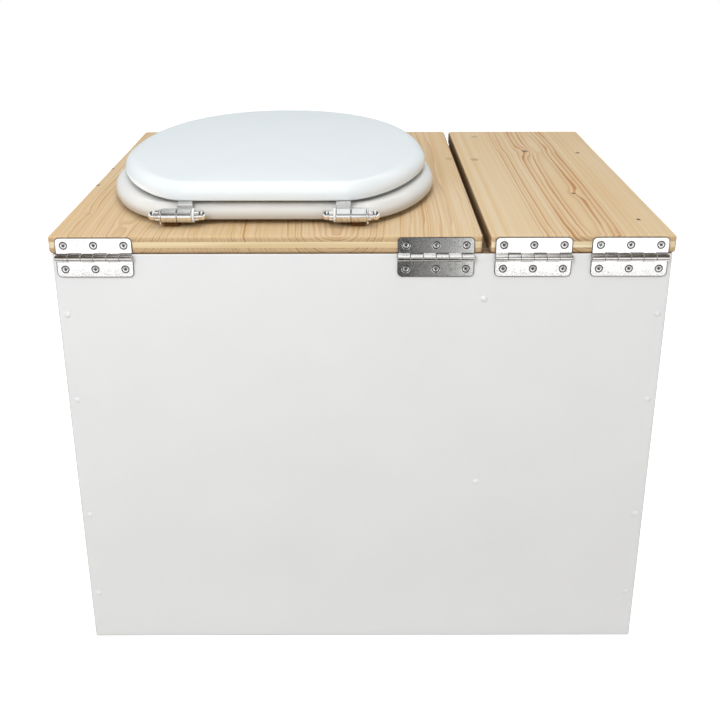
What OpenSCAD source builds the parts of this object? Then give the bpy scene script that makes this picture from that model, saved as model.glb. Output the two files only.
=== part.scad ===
// Composting toilet: a painted box with a seat board, a litter lid, a bucket and a seat.
// +Z is up, the user sits facing -Y, and the butt hinges are on the rear face, at +Y.
// The origin is on the floor, under the middle of the whole object.

/* [Box] */
// Outside width of the box
box_w = 644; // [600:1:700]
// Outside depth of the box
box_d = 550; // [520:1:600]
// Height of the box, up to the underside of the boards
box_h = 481; // [460:1:520]
// Thickness of the box panels
panel_t = 18; // [15:1:22]
// Rounding of the panels' edges
panel_edge_r = 1.2; // [0.5:0.1:2]

/* [Boards] */
// Thickness of the three-ply boards
board_t = 19; // [18:1:24]
// Rounding of the boards' edges
board_edge_r = 3.4; // [1:0.1:4]
// How far the boards stand out over each side of the box
side_overhang = 3.5; // [0:0.5:10]
// How far the boards stand out over the front of the box
front_overhang = 10; // [0:1:20]
// Width of the litter lid
litter_lid_w = 194; // [180:0.5:210]
// Gap between the two boards
board_gap = 6.2; // [3:0.1:8]

/* [Litter bay] */
// Height of the partition's lower edge above the floor
partition_bottom = 180; // [120:1:200]
// Thickness of the litter floor
litter_floor_t = 12; // [9:1:18]
// Width of a floor batten
batten_w = 20; // [16:1:25]
// Height of a floor batten
batten_h = 26; // [18:1:30]
// Gap between a batten's end and the panel
batten_end_gap = 15; // [0:1:40]
// Length of a batten screw
batten_screw_l = 32; // [28:1:34]

/* [Panel screws] */
// Heights of the screws into the side panels
side_screw_z = [62, 169, 314, 414]; // [30:1:440]
// Heights of the screws into the partition
partition_screw_z = [211, 431]; // [205:1:440]
// Diameter of a panel screw's head
panel_screw_head_d = 6.4; // [5:0.1:8]
// Diameter of a panel screw's shank
panel_screw_d = 4; // [3:0.1:5]
// Length of a panel screw
panel_screw_l = 45; // [35:1:50]
// How far a panel screw's head stands out of the panel
panel_screw_proud = 0.35; // [0:0.05:0.6]

/* [Butt hinges] */
// Length of a butt hinge
hinge_l = 80; // [60:1:90]
// Width of one leaf, from the pin's axis
leaf_w = 21.4; // [19:0.1:23]
// Thickness of a leaf
leaf_t = 1.5; // [1.2:0.1:2]
// Outer radius of a knuckle
knuckle_r = 3.6; // [3.2:0.1:4]
// Radius of the hinge pin
hinge_pin_r = 2.1; // [1.6:0.05:2.2]
// Number of knuckles, shared by the two leaves
knuckles = 6; // [4:2:8]
// Height of the boards' underside over the pin's axis
hinge_drop = 3.5; // [3:0.1:5]
// Radius of a leaf's outer corners
leaf_corner_r = 5; // [2:0.5:7]
// Distance from the pin's axis to a row of screws
leaf_screw_row = 12.8; // [11:0.1:14]
// Distance between two screws of a row
leaf_screw_pitch = 31.2; // [22:0.1:35]
// Diameter of a hinge screw's head
hinge_screw_head_d = 7.6; // [6.5:0.1:8]
// Diameter of a hinge screw's shank
hinge_screw_d = 3.5; // [3:0.1:4]
// Length of a hinge screw
hinge_screw_l = 16; // [12:1:17]
// How far a hinge screw's head lies under the leaf's face
head_sunk = 0.2; // [0:0.05:0.4]
// How far a pin's domed end stands out
pin_dome = 1; // [0.5:0.1:1.5]
// From the seat board's outer edge to its outer hinge
hinge_inset_seat_outer = 7.5; // [2:0.5:20]
// From the seat board's inner edge to its inner hinge
hinge_inset_seat_inner = 9; // [2:0.5:20]
// From the litter lid's inner edge to its inner hinge
hinge_inset_litter_inner = 6; // [2:0.5:10]
// From the litter lid's outer edge to its outer hinge
hinge_inset_litter_outer = 8; // [2:0.5:10]

/* [Seat hinges] */
// Distance between the middles of the two seat hinges
seat_hinge_spacing = 183.5; // [150:0.5:200]
// Distance from the boards' rear edge to the seat axles
seat_axle_in = 35.3; // [28:0.1:45]
// Height of the seat axles over the seat board
seat_axle_up = 12.5; // [11:0.1:14]
// Radius of a seat axle
axle_r = 3; // [2.5:0.1:3.5]
// Outer radius of the posts' and lid straps' barrels
barrel_r = 7.7; // [7:0.1:8]
// Length of a post's barrel
post_barrel_l = 16.4; // [14:0.1:18]
// Length of a lid strap's barrel
lid_barrel_l = 15.6; // [14:0.1:18]
// Thickness of the straps
strap_t = 1.6; // [1.2:0.1:2]
// Thickness of the nylon washer
washer_t = 2.4; // [1.5:0.1:3]
// Length of a dome nut
dome_nut_l = 11.2; // [10:0.1:13]
// Radius of the stud under a post
stud_r = 4; // [3:0.1:4.5]
// How far the stud comes out under the seat board
stud_out = 13; // [10:0.5:20]
// Diameter of a strap screw's head
strap_screw_head_d = 6; // [5:0.1:7]
// Diameter of a strap screw's shank
strap_screw_d = 3; // [2.5:0.1:3.5]
// Length of a strap screw
strap_screw_l = 13; // [10:0.5:15]
// Distances from the axles to the screws of a ring strap
ring_screw_rows = [21, 36]; // [20:1:38]
// Distances from the axles to the screws of a lid strap
lid_screw_rows = [24, 42]; // [22:1:46]
// Radius of a post's foot
post_foot_r = 6.6; // [6:0.1:9]

/* [Seat] */
// How far the seat, its hinges and the bucket sit to one side of the seat board's middle
seat_shift = 3.6; // [0:0.1:6]
// Distance from the seat axles to the rear edge of the ring and lid
seat_set_forward = 8.65; // [8.6:0.05:12]
// Height of the bumpers under the seat ring
ring_bumper_h = 5.3; // [4:0.1:6]
// Height of the bumpers between the ring and the lid
lid_bumper_h = 3.6; // [2:0.1:5]
// Radius of a bumper under the ring
ring_bumper_r = 9; // [7:0.5:10]
// Radius of a bumper under the lid
lid_bumper_r = 8; // [6:0.5:9]
// From the ring's rear edge to its front bumpers
bumper_back = 360; // [330:1:370]
// From the middle of the seat to a front bumper
bumper_side = 101; // [90:1:110]
// Rounding of the ring's and the lid's lower edges
low_round_r = 2; // [1:0.5:3]
// Roundness of the front of the ring and the lid, 2 for an ellipse and more for a squarer one
front_power = 2.17; // [1.8:0.01:2.6]

/* [Seat ring] */
// Width of the seat ring
ring_w = 380; // [360:1:390]
// Length of the seat ring
ring_l = 468; // [430:1:480]
// Thickness of the seat ring
ring_t = 16.5; // [15:0.5:20]
// Width of the straight stretch at the ring's rear
ring_flat = 216.5; // [180:0.5:240]
// From the ring's rear edge to its widest line
ring_widest = 173; // [140:1:200]
// Roundness of the ring's rear corners
ring_corner_power = 1.65; // [1.4:0.01:2.4]
// How far in the rounding of the ring's upper edges starts
ring_round_in = 13; // [6:0.5:16]
// How far down the rounding of the ring's upper edges ends
ring_round_down = 12; // [5:0.5:13]
// Width of the opening in the seat ring
ring_hole_w = 240; // [220:1:246]
// Length of the opening in the seat ring
ring_hole_l = 292; // [260:1:296]
// From the ring's rear edge to its opening
ring_hole_back = 90; // [75:1:95]

/* [Lid] */
// Width of the lid
lid_w = 362; // [340:0.5:370]
// Length of the lid
lid_l = 464.5; // [420:0.5:476]
// Thickness of the lid at its edge
lid_t = 18; // [16:0.5:21]
// How much the lid's top rises towards its middle
lid_crown = 1.5; // [0.5:0.1:3]
// Width of the straight stretch at the lid's rear
lid_flat = 172.5; // [150:0.5:210]
// From the lid's rear edge to its widest line
lid_widest = 192; // [140:1:210]
// Roundness of the lid's rear corners
lid_corner_power = 1.62; // [1.4:0.02:2.4]
// How far in the rounding of the lid's upper edge starts
lid_round_in = 18; // [8:0.5:22]
// How far down the rounding of the lid's upper edge ends
lid_round_down = 14; // [6:0.5:14]

/* [Bucket and splash guard] */
// Height of the bucket
bucket_h = 395; // [370:1:400]
// Outside radius of the bucket's wall at its top
bucket_top_r = 160; // [158:1:165]
// Outside radius of the bucket's wall at its bottom
bucket_bottom_r = 127; // [115:1:145]
// Thickness of the bucket's wall
bucket_wall = 1.2; // [0.8:0.1:2]
// Radius of the bucket's rolled rim
rim_r = 3.5; // [2.5:0.1:4.5]
// Radius of the bail's wire
bail_r = 2.5; // [2:0.1:3]
// Length of the bail's straight legs
bail_leg = 32; // [28:1:36]
// Radius of the bail's grip
grip_r = 10; // [8:0.5:11]
// Length of the bail's grip
grip_l = 96; // [80:1:110]
// Width of the oblong hole in the seat board
seat_hole_w = 250; // [240:1:260]
// Length of the oblong hole in the seat board
seat_hole_l = 300; // [290:1:304]
// Thickness of the splash guard's sheet
guard_t = 1.2; // [1:0.1:2]
// Width of the splash guard's flange
guard_flange = 18; // [14:1:22]
// How deep the splash guard reaches into the bucket
guard_reach = 8; // [4:1:12]

/* [Hidden] */
$fn = 64;
cut = 1;                 // how far a cutting shape runs past what it cuts
fit = 0.05;              // radial clearance of a shaft in its bore, and of a screw in its hole
side_gap = 0.3;          // clearance along an axle or a pin between pieces that turn

boards_w = box_w + 2 * side_overhang;
board_d = box_d + front_overhang;
board_top = box_h + board_t;
leaf_axis_out = knuckle_r + 0.3;                       // the pin's axis, out from the rear faces
rear_y = (board_d - leaf_axis_out - knuckle_r) / 2;    // the rear faces of the box and the boards
front_y = rear_y - box_d;
inner_w = box_w - 2 * panel_t;
inner_d = box_d - 2 * panel_t;
inner_y = (rear_y + front_y) / 2;                      // middle of the inside, front to back

litter_lo = -boards_w / 2;
litter_hi = litter_lo + litter_lid_w;
seat_lo = litter_hi + board_gap;
seat_hi = boards_w / 2;
partition_x = (litter_hi + seat_lo) / 2;
seat_x = (seat_lo + seat_hi) / 2 + seat_shift;         // middle of the seat, its hinges and the bucket

hinge_z = box_h - hinge_drop;
hinge_x = [
    seat_hi - hinge_inset_seat_outer - hinge_l / 2,
    seat_lo + hinge_inset_seat_inner + hinge_l / 2,
    litter_hi - hinge_inset_litter_inner - hinge_l / 2,
    litter_lo + hinge_inset_litter_outer + hinge_l / 2,
];
knuckle_l = hinge_l / knuckles;

axle_y = rear_y - seat_axle_in;
axle_z = board_top + seat_axle_up;
ring_z = board_top + ring_bumper_h;
ring_top = ring_z + ring_t;
lid_z = ring_top + lid_bumper_h;
seat_rear_y = axle_y - seat_set_forward;
hole_y = seat_rear_y - ring_hole_back - ring_hole_l / 2; // middle of the openings and the bucket

guard_r = seat_hole_w / 2 - 2;
guard_straight = seat_hole_l - seat_hole_w;
guard_bottom = bucket_h - guard_reach;

ear_z = bucket_h - 30;
ear_out = bucket_top_r + 10;                           // the outer face of an ear's loop
bail_half = ear_out + 5;                               // from the bucket's axis to the bail's legs
bail_reach = bail_leg + bail_half;

// Outside radius of the bucket's wall at height z.
function bucket_r(z) = bucket_bottom_r + (bucket_top_r - bucket_bottom_r) * z / bucket_h;

// How far the bail hangs below level when its grip lies against the bucket, settled in n steps.
function droop(n) = n == 0 ? 35 :
    acos((bucket_r(ear_z - bail_reach * sin(droop(n - 1))) + grip_r + side_gap) / bail_reach);
bail_droop = droop(12);

// ---------- shapes that repeat ----------

// A flat rectangle from its middle, with round corners.
module round_rect(w, h, r) {
    square([w - 2 * r, h], center = true);
    square([w, h - 2 * r], center = true);
    for (x = [-1, 1], y = [-1, 1])
        translate([x * (w / 2 - r), y * (h / 2 - r)]) circle(r);
}

// A block with every edge rounded, from its lowest corner.
module panel(size, r) {
    translate(size / 2) intersection() {
        linear_extrude(size.z, center = true) round_rect(size.x, size.y, r);
        rotate([90, 0, 0]) linear_extrude(size.y, center = true) round_rect(size.x, size.z, r);
        rotate([90, 0, 90]) linear_extrude(size.x, center = true) round_rect(size.y, size.z, r);
    }
}

// An oblong: a circle of radius r drawn out along Y by a straight stretch.
module oblong(r, straight) {
    square([2 * r, straight], center = true);
    for (y = [-1, 1]) translate([0, y * straight / 2]) circle(r);
}

// Turns +Z outwards from the rear face or the front face.
module facing_rear() { rotate([-90, 0, 0]) children(); }
module facing_front() { rotate([90, 0, 0]) children(); }

// A countersunk screw along -Z, with the top of its head at 0, made larger all round by grow.
module screw_body(head_d, d, l, grow = 0) {
    head_h = (head_d - d) / 2;
    tip = d;
    rotate_extrude() polygon([
        [0, grow], [head_d / 2 + grow, grow], if (grow > 0) [head_d / 2 + grow, 0],
        [d / 2 + grow, -head_h], [d / 2 + grow, tip - l], [0, -l - grow],
    ]);
}

// The same screw with its cross recess.
module cross_screw(head_d, d, l) {
    recess_w = 0.13 * head_d;
    recess_l = 0.56 * head_d;
    recess_h = 0.16 * head_d;
    difference() {
        screw_body(head_d, d, l);
        for (a = [0, 90])
            rotate(a) translate([0, 0, cut / 2])
                cube([recess_l, recess_w, cut + 2 * recess_h], center = true);
    }
}

// ---------- box ----------

side_screw_x = box_w / 2 - panel_t / 2;

// Puts children at every panel screw of the rear face or the front face.
module at_panel_screws() {
    for (s = [-1, 1], z = side_screw_z) translate([s * side_screw_x, 0, z]) children();
    for (z = partition_screw_z) translate([partition_x, 0, z]) children();
}

module panel_screw_holes() {
    translate([0, rear_y, 0]) at_panel_screws() facing_rear() panel_screw(fit);
    translate([0, front_y, 0]) at_panel_screws() facing_front() panel_screw(fit);
}

// A painted panel screw stands a little proud of the panel.
module panel_screw(grow = 0) {
    translate([0, 0, panel_screw_proud])
        screw_body(panel_screw_head_d, panel_screw_d, panel_screw_l, grow);
}

module rear_panel() {
    color("white") difference() {
        translate([-box_w / 2, rear_y - panel_t, 0]) panel([box_w, panel_t, box_h], panel_edge_r);
        panel_screw_holes();
        box_leaf_screw_holes();
    }
}

module front_panel() {
    color("white") difference() {
        translate([-box_w / 2, front_y, 0]) panel([box_w, panel_t, box_h], panel_edge_r);
        panel_screw_holes();
    }
}

module side_panel(x) {
    difference() {
        translate([x, front_y + panel_t, 0]) panel([panel_t, inner_d, box_h], panel_edge_r);
        panel_screw_holes();
    }
}

module seat_side_panel() { color("white") side_panel(inner_w / 2); }

module litter_side_panel() {
    color("white") difference() {
        side_panel(-inner_w / 2 - panel_t);
        batten_screw_holes();
    }
}

module partition_panel() {
    color("white") difference() {
        translate([partition_x - panel_t / 2, front_y + panel_t, partition_bottom])
            panel([panel_t, inner_d, box_h - partition_bottom], panel_edge_r);
        panel_screw_holes();
        batten_screw_holes();
    }
}

module rear_panel_screws() {
    color("white") translate([0, rear_y, 0]) at_panel_screws() facing_rear() panel_screw();
}

module front_panel_screws() {
    color("white") translate([0, front_y, 0]) at_panel_screws() facing_front() panel_screw();
}

// ---------- litter bay ----------

litter_in_lo = -inner_w / 2;
litter_in_hi = partition_x - panel_t / 2;
batten_l = inner_d - 2 * batten_end_gap;
batten_screw_y = [-0.35 * batten_l, 0.35 * batten_l];

module litter_floor() {
    play = 0.5;
    color("white") translate([litter_in_lo + play, front_y + panel_t + play, partition_bottom + batten_h])
        panel([litter_in_hi - litter_in_lo - 2 * play, inner_d - 2 * play, litter_floor_t], 0.8);
}

module litter_battens() {
    color("burlywood") difference() {
        for (x = [litter_in_lo, litter_in_hi - batten_w])
            translate([x, inner_y - batten_l / 2, partition_bottom])
                panel([batten_w, batten_l, batten_h], 1);
        batten_screw_holes();
    }
}

module at_batten_screws() {
    for (y = batten_screw_y) {
        translate([litter_in_lo + batten_w, inner_y + y, partition_bottom + batten_h / 2])
            rotate([0, 90, 0]) children();
        translate([litter_in_hi - batten_w, inner_y + y, partition_bottom + batten_h / 2])
            rotate([0, -90, 0]) children();
    }
}

module batten_screw_holes() {
    at_batten_screws() screw_body(hinge_screw_head_d, panel_screw_d, batten_screw_l, fit);
}

module batten_screws() {
    color("silver") at_batten_screws() cross_screw(hinge_screw_head_d, panel_screw_d, batten_screw_l);
}

// ---------- butt hinges ----------

// Puts children at the three screws of one row, on the rear face, with the row above or below the pin.
module at_leaf_screws(i, up) {
    for (k = [-1, 0, 1])
        translate([hinge_x[i] + k * leaf_screw_pitch,
                   rear_y + leaf_t - head_sunk,
                   hinge_z + up * leaf_screw_row])
            facing_rear() children();
}

module hinge_screw(grow = 0) { screw_body(hinge_screw_head_d, hinge_screw_d, hinge_screw_l, grow); }

module box_leaf_screw_holes() { for (i = [0:3]) at_leaf_screws(i, -1) hinge_screw(fit); }

// One leaf, seen from behind: up is 1 for the lid's leaf and -1 for the box's. Knuckles alternate.
module hinge_leaf(i, up) {
    mine = up > 0 ? 0 : 1;
    clear = knuckle_r + 0.4;
    csk_r = hinge_screw_head_d / 2 + 0.4;
    color("silver") difference() {
        translate([hinge_x[i], rear_y, hinge_z]) difference() {
            union() {
                rotate([-90, 0, 0]) linear_extrude(leaf_t) mirror([0, up > 0 ? 1 : 0]) {
                    translate([-hinge_l / 2, 0]) square([hinge_l, leaf_w - leaf_corner_r]);
                    translate([leaf_corner_r - hinge_l / 2, 0]) square([hinge_l - 2 * leaf_corner_r, leaf_w]);
                    for (x = [-1, 1])
                        translate([x * (hinge_l / 2 - leaf_corner_r), leaf_w - leaf_corner_r])
                            circle(leaf_corner_r);
                }
                for (k = [mine:2:knuckles - 1])
                    translate([hinge_l / 2 - (k + 1) * knuckle_l + side_gap / 2, leaf_axis_out, 0])
                        rotate([0, 90, 0]) cylinder(h = knuckle_l - side_gap, r = knuckle_r);
            }
            for (k = [1 - mine:2:knuckles - 1])
                translate([hinge_l / 2 - (k + 1) * knuckle_l - side_gap / 2, -cut, up > 0 ? -cut : -clear])
                    cube([knuckle_l + side_gap, leaf_t + 2 * cut, clear + cut]);
            translate([-hinge_l / 2 - cut, leaf_axis_out, 0]) rotate([0, 90, 0])
                cylinder(h = hinge_l + 2 * cut, r = hinge_pin_r + fit);
        }
        at_leaf_screws(i, up) translate([0, 0, head_sunk - leaf_t])
            cylinder(h = leaf_t + cut, r1 = csk_r - leaf_t, r2 = csk_r + cut);
        at_leaf_screws(i, up) translate([0, 0, -leaf_t - cut])
            cylinder(h = leaf_t + 2 * cut, r = csk_r - leaf_t);
    }
}

// The pin runs the hinge's length, with a low domed head at each end.
module hinge_pin(i) {
    color("silver") translate([hinge_x[i], rear_y + leaf_axis_out, hinge_z]) rotate([0, 90, 0]) {
        cylinder(h = hinge_l, r = hinge_pin_r, center = true);
        for (s = [0, 1]) mirror([0, 0, s]) translate([0, 0, hinge_l / 2])
            cylinder(h = pin_dome, r1 = knuckle_r - 0.6, r2 = hinge_pin_r - 0.6);
    }
}

module leaf_screws(i, up) {
    at_leaf_screws(i, up) cross_screw(hinge_screw_head_d, hinge_screw_d, hinge_screw_l);
}

module box_leaf_screws() { color("silver") for (i = [0:3]) leaf_screws(i, -1); }
module seat_board_leaf_screws() { color("silver") for (i = [0, 1]) leaf_screws(i, 1); }
module litter_lid_leaf_screws() { color("silver") for (i = [2, 3]) leaf_screws(i, 1); }

// ---------- boards ----------

module top_board(lo, hi) {
    translate([lo, rear_y - board_d, box_h]) panel([hi - lo, board_d, board_t], board_edge_r);
}

module seat_board() {
    color("burlywood") difference() {
        top_board(seat_lo, seat_hi);
        translate([seat_x, hole_y, box_h - cut])
            linear_extrude(board_t + 2 * cut) oblong(seat_hole_w / 2, seat_hole_l - seat_hole_w);
        for (i = [0, 1]) at_leaf_screws(i, 1) hinge_screw(fit);
        at_seat_hinges() translate([post_mid, 0, -seat_axle_up - board_t - cut])
            cylinder(h = board_t + 2 * cut, r = stud_r + 0.3);
        at_guard_screws() guard_screw(fit);
    }
}

module litter_lid() {
    color("burlywood") difference() {
        top_board(litter_lo, litter_hi);
        for (i = [2, 3]) at_leaf_screws(i, 1) hinge_screw(fit);
    }
}

// ---------- splash guard ----------

guard_screw_l = 12;
guard_screw_r = guard_r + guard_flange / 2;

module at_guard_screws() {
    for (s = [-1, 1], a = [0, 60, -60])
        translate([seat_x + s * guard_screw_r * cos(a),
                   hole_y + guard_screw_r * sin(a) + sign(a) * guard_straight / 2, box_h - guard_t])
            rotate([180, 0, 0]) children();
}

module guard_screw(grow = 0) { screw_body(6, 3, guard_screw_l, grow); }

module splash_guard() {
    color("silver") difference() {
        translate([seat_x, hole_y, 0]) difference() {
            union() {
                translate([0, 0, guard_bottom])
                    linear_extrude(box_h - guard_bottom) oblong(guard_r, guard_straight);
                translate([0, 0, box_h - guard_t])
                    linear_extrude(guard_t) oblong(guard_r + guard_flange, guard_straight);
            }
            translate([0, 0, guard_bottom - cut])
                linear_extrude(box_h - guard_bottom + 2 * cut) oblong(guard_r - guard_t, guard_straight);
        }
        at_guard_screws() guard_screw(fit);
    }
}

module splash_guard_screws() { color("silver") at_guard_screws() cross_screw(6, 3, guard_screw_l); }

// ---------- seat hinges ----------
// In a seat hinge's own frame its axle lies along X, with the post on the outer side, at +X,
// and the lid's barrel on the inner side. The second hinge is the mirror image of the first.

post_mid = side_gap / 2 + post_barrel_l / 2;
ear_lo = side_gap / 2 + post_barrel_l + side_gap;
washer_lo = -side_gap / 2 - lid_barrel_l - side_gap - washer_t;
axle_in_nut = 7;
stud_l = board_t + stud_out;

module at_seat_hinge(s) {
    translate([seat_x + s * seat_hinge_spacing / 2, axle_y, axle_z])
        mirror([s > 0 ? 0 : 1, 0, 0]) children();
}

module at_seat_hinges() { for (s = [1, -1]) at_seat_hinge(s) children(); }

// A cylinder along X from x = lo to x = hi.
module along_x(lo, hi, r) { translate([lo, 0, 0]) rotate([0, 90, 0]) cylinder(h = hi - lo, r = r); }

module seat_post(s) {
    foot_h = 2;
    neck_r = 5.8;
    color("lightgray") at_seat_hinge(s) difference() {
        union() {
            along_x(post_mid - post_barrel_l / 2, post_mid + post_barrel_l / 2, barrel_r);
            translate([post_mid, 0, -seat_axle_up]) {
                cylinder(h = foot_h, r = post_foot_r);
                cylinder(h = seat_axle_up - axle_r, r = neck_r);
                translate([0, 0, -stud_l]) cylinder(h = stud_l + foot_h, r = stud_r);
            }
        }
        along_x(-cut, post_barrel_l + cut, axle_r + fit);
    }
}

post_washer_t = 1.6;
module post_washers() {
    color("silver") at_seat_hinges()
        translate([post_mid, 0, -seat_axle_up - board_t - post_washer_t]) difference() {
            cylinder(h = post_washer_t, r = 2.5 * stud_r);
            translate([0, 0, -cut]) cylinder(h = post_washer_t + 2 * cut, r = stud_r + 0.3);
        }
}

module post_nuts() {
    nut_h = 6.5;
    nut_r = 1.88 * stud_r;
    color("silver") at_seat_hinges()
        translate([post_mid, 0, -seat_axle_up - board_t - post_washer_t - nut_h]) difference() {
            cylinder(h = nut_h, r = nut_r, $fn = 6);
            translate([0, 0, -cut]) cylinder(h = nut_h + 2 * cut, r = stud_r + fit);
        }
}

module seat_axle(s) {
    color("silver") at_seat_hinge(s)
        along_x(washer_lo - axle_in_nut, ear_lo + strap_t + axle_in_nut, axle_r);
}

module axle_washers() {
    color("white") at_seat_hinges() difference() {
        along_x(washer_lo, washer_lo + washer_t, barrel_r - 0.3);
        along_x(washer_lo - cut, washer_lo + washer_t + cut, axle_r + fit);
    }
}

// A dome nut along +X from 0: a ribbed neck, then a ball end.
module dome_nut() {
    ribs = 18;
    neck_l = 4.4;
    neck_r = 5.5;
    rib_h = 0.45;
    ball_r = 5.1;
    difference() {
        union() {
            rotate([0, 90, 0]) linear_extrude(neck_l) polygon([
                for (i = [0:2 * ribs - 1]) let (r = neck_r - (i % 2) * rib_h, a = i * 180 / ribs)
                    [r * cos(a), r * sin(a)],
            ]);
            intersection() {
                translate([dome_nut_l - ball_r, 0, 0]) rotate([0, 90, 0]) sphere(ball_r);
                along_x(neck_l - cut, dome_nut_l + cut, ball_r + cut);
            }
            along_x(0, dome_nut_l - ball_r, ball_r - 0.6);
        }
        along_x(-cut, axle_in_nut + 0.3, axle_r + fit);
    }
}

module dome_nuts() {
    color("lightgray") at_seat_hinges() {
        translate([ear_lo + strap_t, 0, 0]) dome_nut();
        translate([washer_lo, 0, 0]) mirror([1, 0, 0]) dome_nut();
    }
}

// ---------- seat ring and lid ----------

corner_steps = 10;
front_steps = 15;
low_steps = 2;
high_steps = 6;

// Half an outline, from the middle of the rear to the middle of the front: a straight stretch of half
// width flat, a corner out to half width a on the widest line y = 0, and a rounder front.
function half_outline(a, rear, front, flat, rear_power, front_power) = concat(
    [for (i = [0:2]) [flat * i / 3, rear]],
    [for (i = [0:corner_steps]) let (t = 90 * i / corner_steps)
        [flat + (a - flat) * pow(sin(t), 2 / rear_power), rear * pow(cos(t), 2 / rear_power)]],
    [for (i = [1:front_steps]) let (t = 90 * i / front_steps)
        [a * pow(cos(t), 2 / front_power), -front * pow(sin(t), 2 / front_power)]]
);

// The whole outline, clockwise from above, at height z.
function outline(half, y, z) = let (n = len(half)) concat(
    [for (p = half) [p.x, p.y + y, z]],
    [for (i = [n - 2:-1:1]) [-half[i].x, half[i].y + y, z]]
);

// [how far in, how high] up a rounded edge, from the underside to the top.
// The upper rounding is a quarter of an ellipse that runs in by round_in and down by round_down.
function edge_profile(t, low_r, round_in, round_down) = concat(
    [for (i = [0:low_steps]) let (a = 90 * i / low_steps)
        [low_r * (1 - sin(a)), low_r * (1 - cos(a))]],
    [for (i = [0:high_steps]) let (a = 90 * i / high_steps)
        [round_in * (1 - cos(a)), t - round_down * (1 - sin(a))]]
);

// Triangles between rows of n points each; closed joins the last row to the first.
function skin(rows, n, closed) = [
    for (j = [0:rows - (closed ? 1 : 2)], i = [0:n - 1])
        let (a = j * n, b = ((j + 1) % rows) * n, k = (i + 1) % n)
            each [[a + i, b + k, b + i], [a + i, a + k, b + k]],
];

function ring_outer(d) = half_outline(ring_w / 2 - d, ring_widest - d, ring_l - ring_widest - d,
                                      ring_flat / 2, ring_corner_power, front_power);
function ring_inner(d) = half_outline(ring_hole_w / 2 + d, 0.45 * ring_hole_l + d, 0.55 * ring_hole_l + d,
                                      0.1 * ring_hole_w, 2.1, 2.1);

module seat_ring() {
    edge = edge_profile(ring_t, low_round_r, ring_round_in, ring_round_down);
    outer_y = seat_rear_y - ring_widest;
    inner_mid = hole_y + 0.05 * ring_hole_l;
    rows = concat(
        [for (e = edge) outline(ring_outer(e[0]), outer_y, ring_z + e[1])],
        [for (i = [len(edge) - 1:-1:0]) outline(ring_inner(edge[i][0]), inner_mid, ring_z + edge[i][1])]
    );
    color("white") difference() {
        translate([seat_x, 0, 0]) polyhedron([for (r = rows) each r], skin(len(rows), len(rows[0]), true));
        ring_strap_screw_holes();
    }
}

function lid_outline(d) = half_outline(lid_w / 2 - d, lid_widest - d, lid_l - lid_widest - d,
                                       lid_flat / 2, lid_corner_power, front_power);

module lid() {
    edge = edge_profile(lid_t, low_round_r, lid_round_in, lid_round_down);
    crown = [[0.23, 0.6], [0.48, 0.95], [0.73, 1]];    // shares of the half width and of the crown
    lid_y = seat_rear_y - lid_widest;
    rows = concat(
        [for (e = edge) outline(lid_outline(e[0]), lid_y, lid_z + e[1])],
        [for (c = crown) let (d = c[0] * lid_w / 2)
            outline(half_outline(lid_w / 2 - d, lid_widest - 0.8 * d, lid_l - lid_widest - d,
                                 lid_flat / 2 * (1 - c[0]), lid_corner_power, front_power),
                    lid_y, lid_z + lid_t + c[1] * lid_crown)]
    );
    middles = [[0, lid_y, lid_z], [0, lid_y, lid_z + lid_t + lid_crown]];
    n = len(rows[0]);
    all = len(rows) * n;
    color("white") difference() {
        translate([seat_x, 0, 0]) polyhedron(concat([for (r = rows) each r], middles), concat(
            skin(len(rows), n, false),
            [for (i = [0:n - 1]) [all, (i + 1) % n, i]],
            [for (i = [0:n - 1]) [all + 1, all - n + i, all - n + (i + 1) % n]]
        ));
        lid_strap_screw_holes();
    }
}

// A rubber bumper, glued on above and wider there.
module bumper(r, h) { cylinder(h = h, r1 = r - 1, r2 = r); }

// Puts children at the four bumpers of the ring or the lid, at height z.
module at_bumpers(z) {
    for (s = [-1, 1]) {
        translate([seat_x + s * (ring_w + ring_hole_w) / 4, seat_rear_y - ring_widest, z]) children();
        translate([seat_x + s * bumper_side, seat_rear_y - bumper_back, z]) children();
    }
}

module ring_bumpers() { color("dimgray") at_bumpers(board_top) bumper(ring_bumper_r, ring_bumper_h); }
module lid_bumpers() { color("dimgray") at_bumpers(ring_top) bumper(lid_bumper_r, lid_bumper_h); }

// The ring's strap: an ear on the axle, outside the post, with a foot under the ring.
ring_strap_l = 44;
ring_strap_w = 16;
ring_strap_x = [ear_lo, ear_lo + strap_t];

module ring_strap(s) {
    ear_r = 7.2;
    foot_z = ring_z - axle_z - strap_t;
    color("lightgray") difference() {
        at_seat_hinge(s) difference() {
            union() {
                along_x(ring_strap_x[0], ring_strap_x[1], ear_r);
                translate([ear_lo, -ear_r, foot_z]) cube([strap_t, ear_r + 3, -foot_z]);
                translate([ear_lo + strap_t - ring_strap_w, -ring_strap_l, foot_z])
                    cube([ring_strap_w, ring_strap_l - seat_set_forward - 2, strap_t]);
                translate([ear_lo, -ring_strap_l, foot_z]) cube([strap_t, ring_strap_l + 3, strap_t]);
            }
            along_x(ear_lo - cut, ear_lo + strap_t + cut, axle_r + fit);
        }
        ring_strap_screw_holes();
    }
}

module at_ring_strap_screws() {
    at_seat_hinges() for (y = ring_screw_rows)
        translate([ear_lo + strap_t - ring_strap_w / 2, -y, ring_z - axle_z - strap_t])
            rotate([180, 0, 0]) children();
}

module strap_screw(grow = 0) { screw_body(strap_screw_head_d, strap_screw_d, strap_screw_l, grow); }

module ring_strap_screw_holes() { at_ring_strap_screws() strap_screw(fit); }

module ring_strap_screws() {
    color("silver") at_ring_strap_screws() cross_screw(strap_screw_head_d, strap_screw_d, strap_screw_l);
}

// The lid's strap: a barrel on the axle, inside the post, that rises and runs on under the lid.
lid_strap_l = 52;
lid_strap_hi = -side_gap / 2;
lid_strap_lo = lid_strap_hi - lid_barrel_l;

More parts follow.
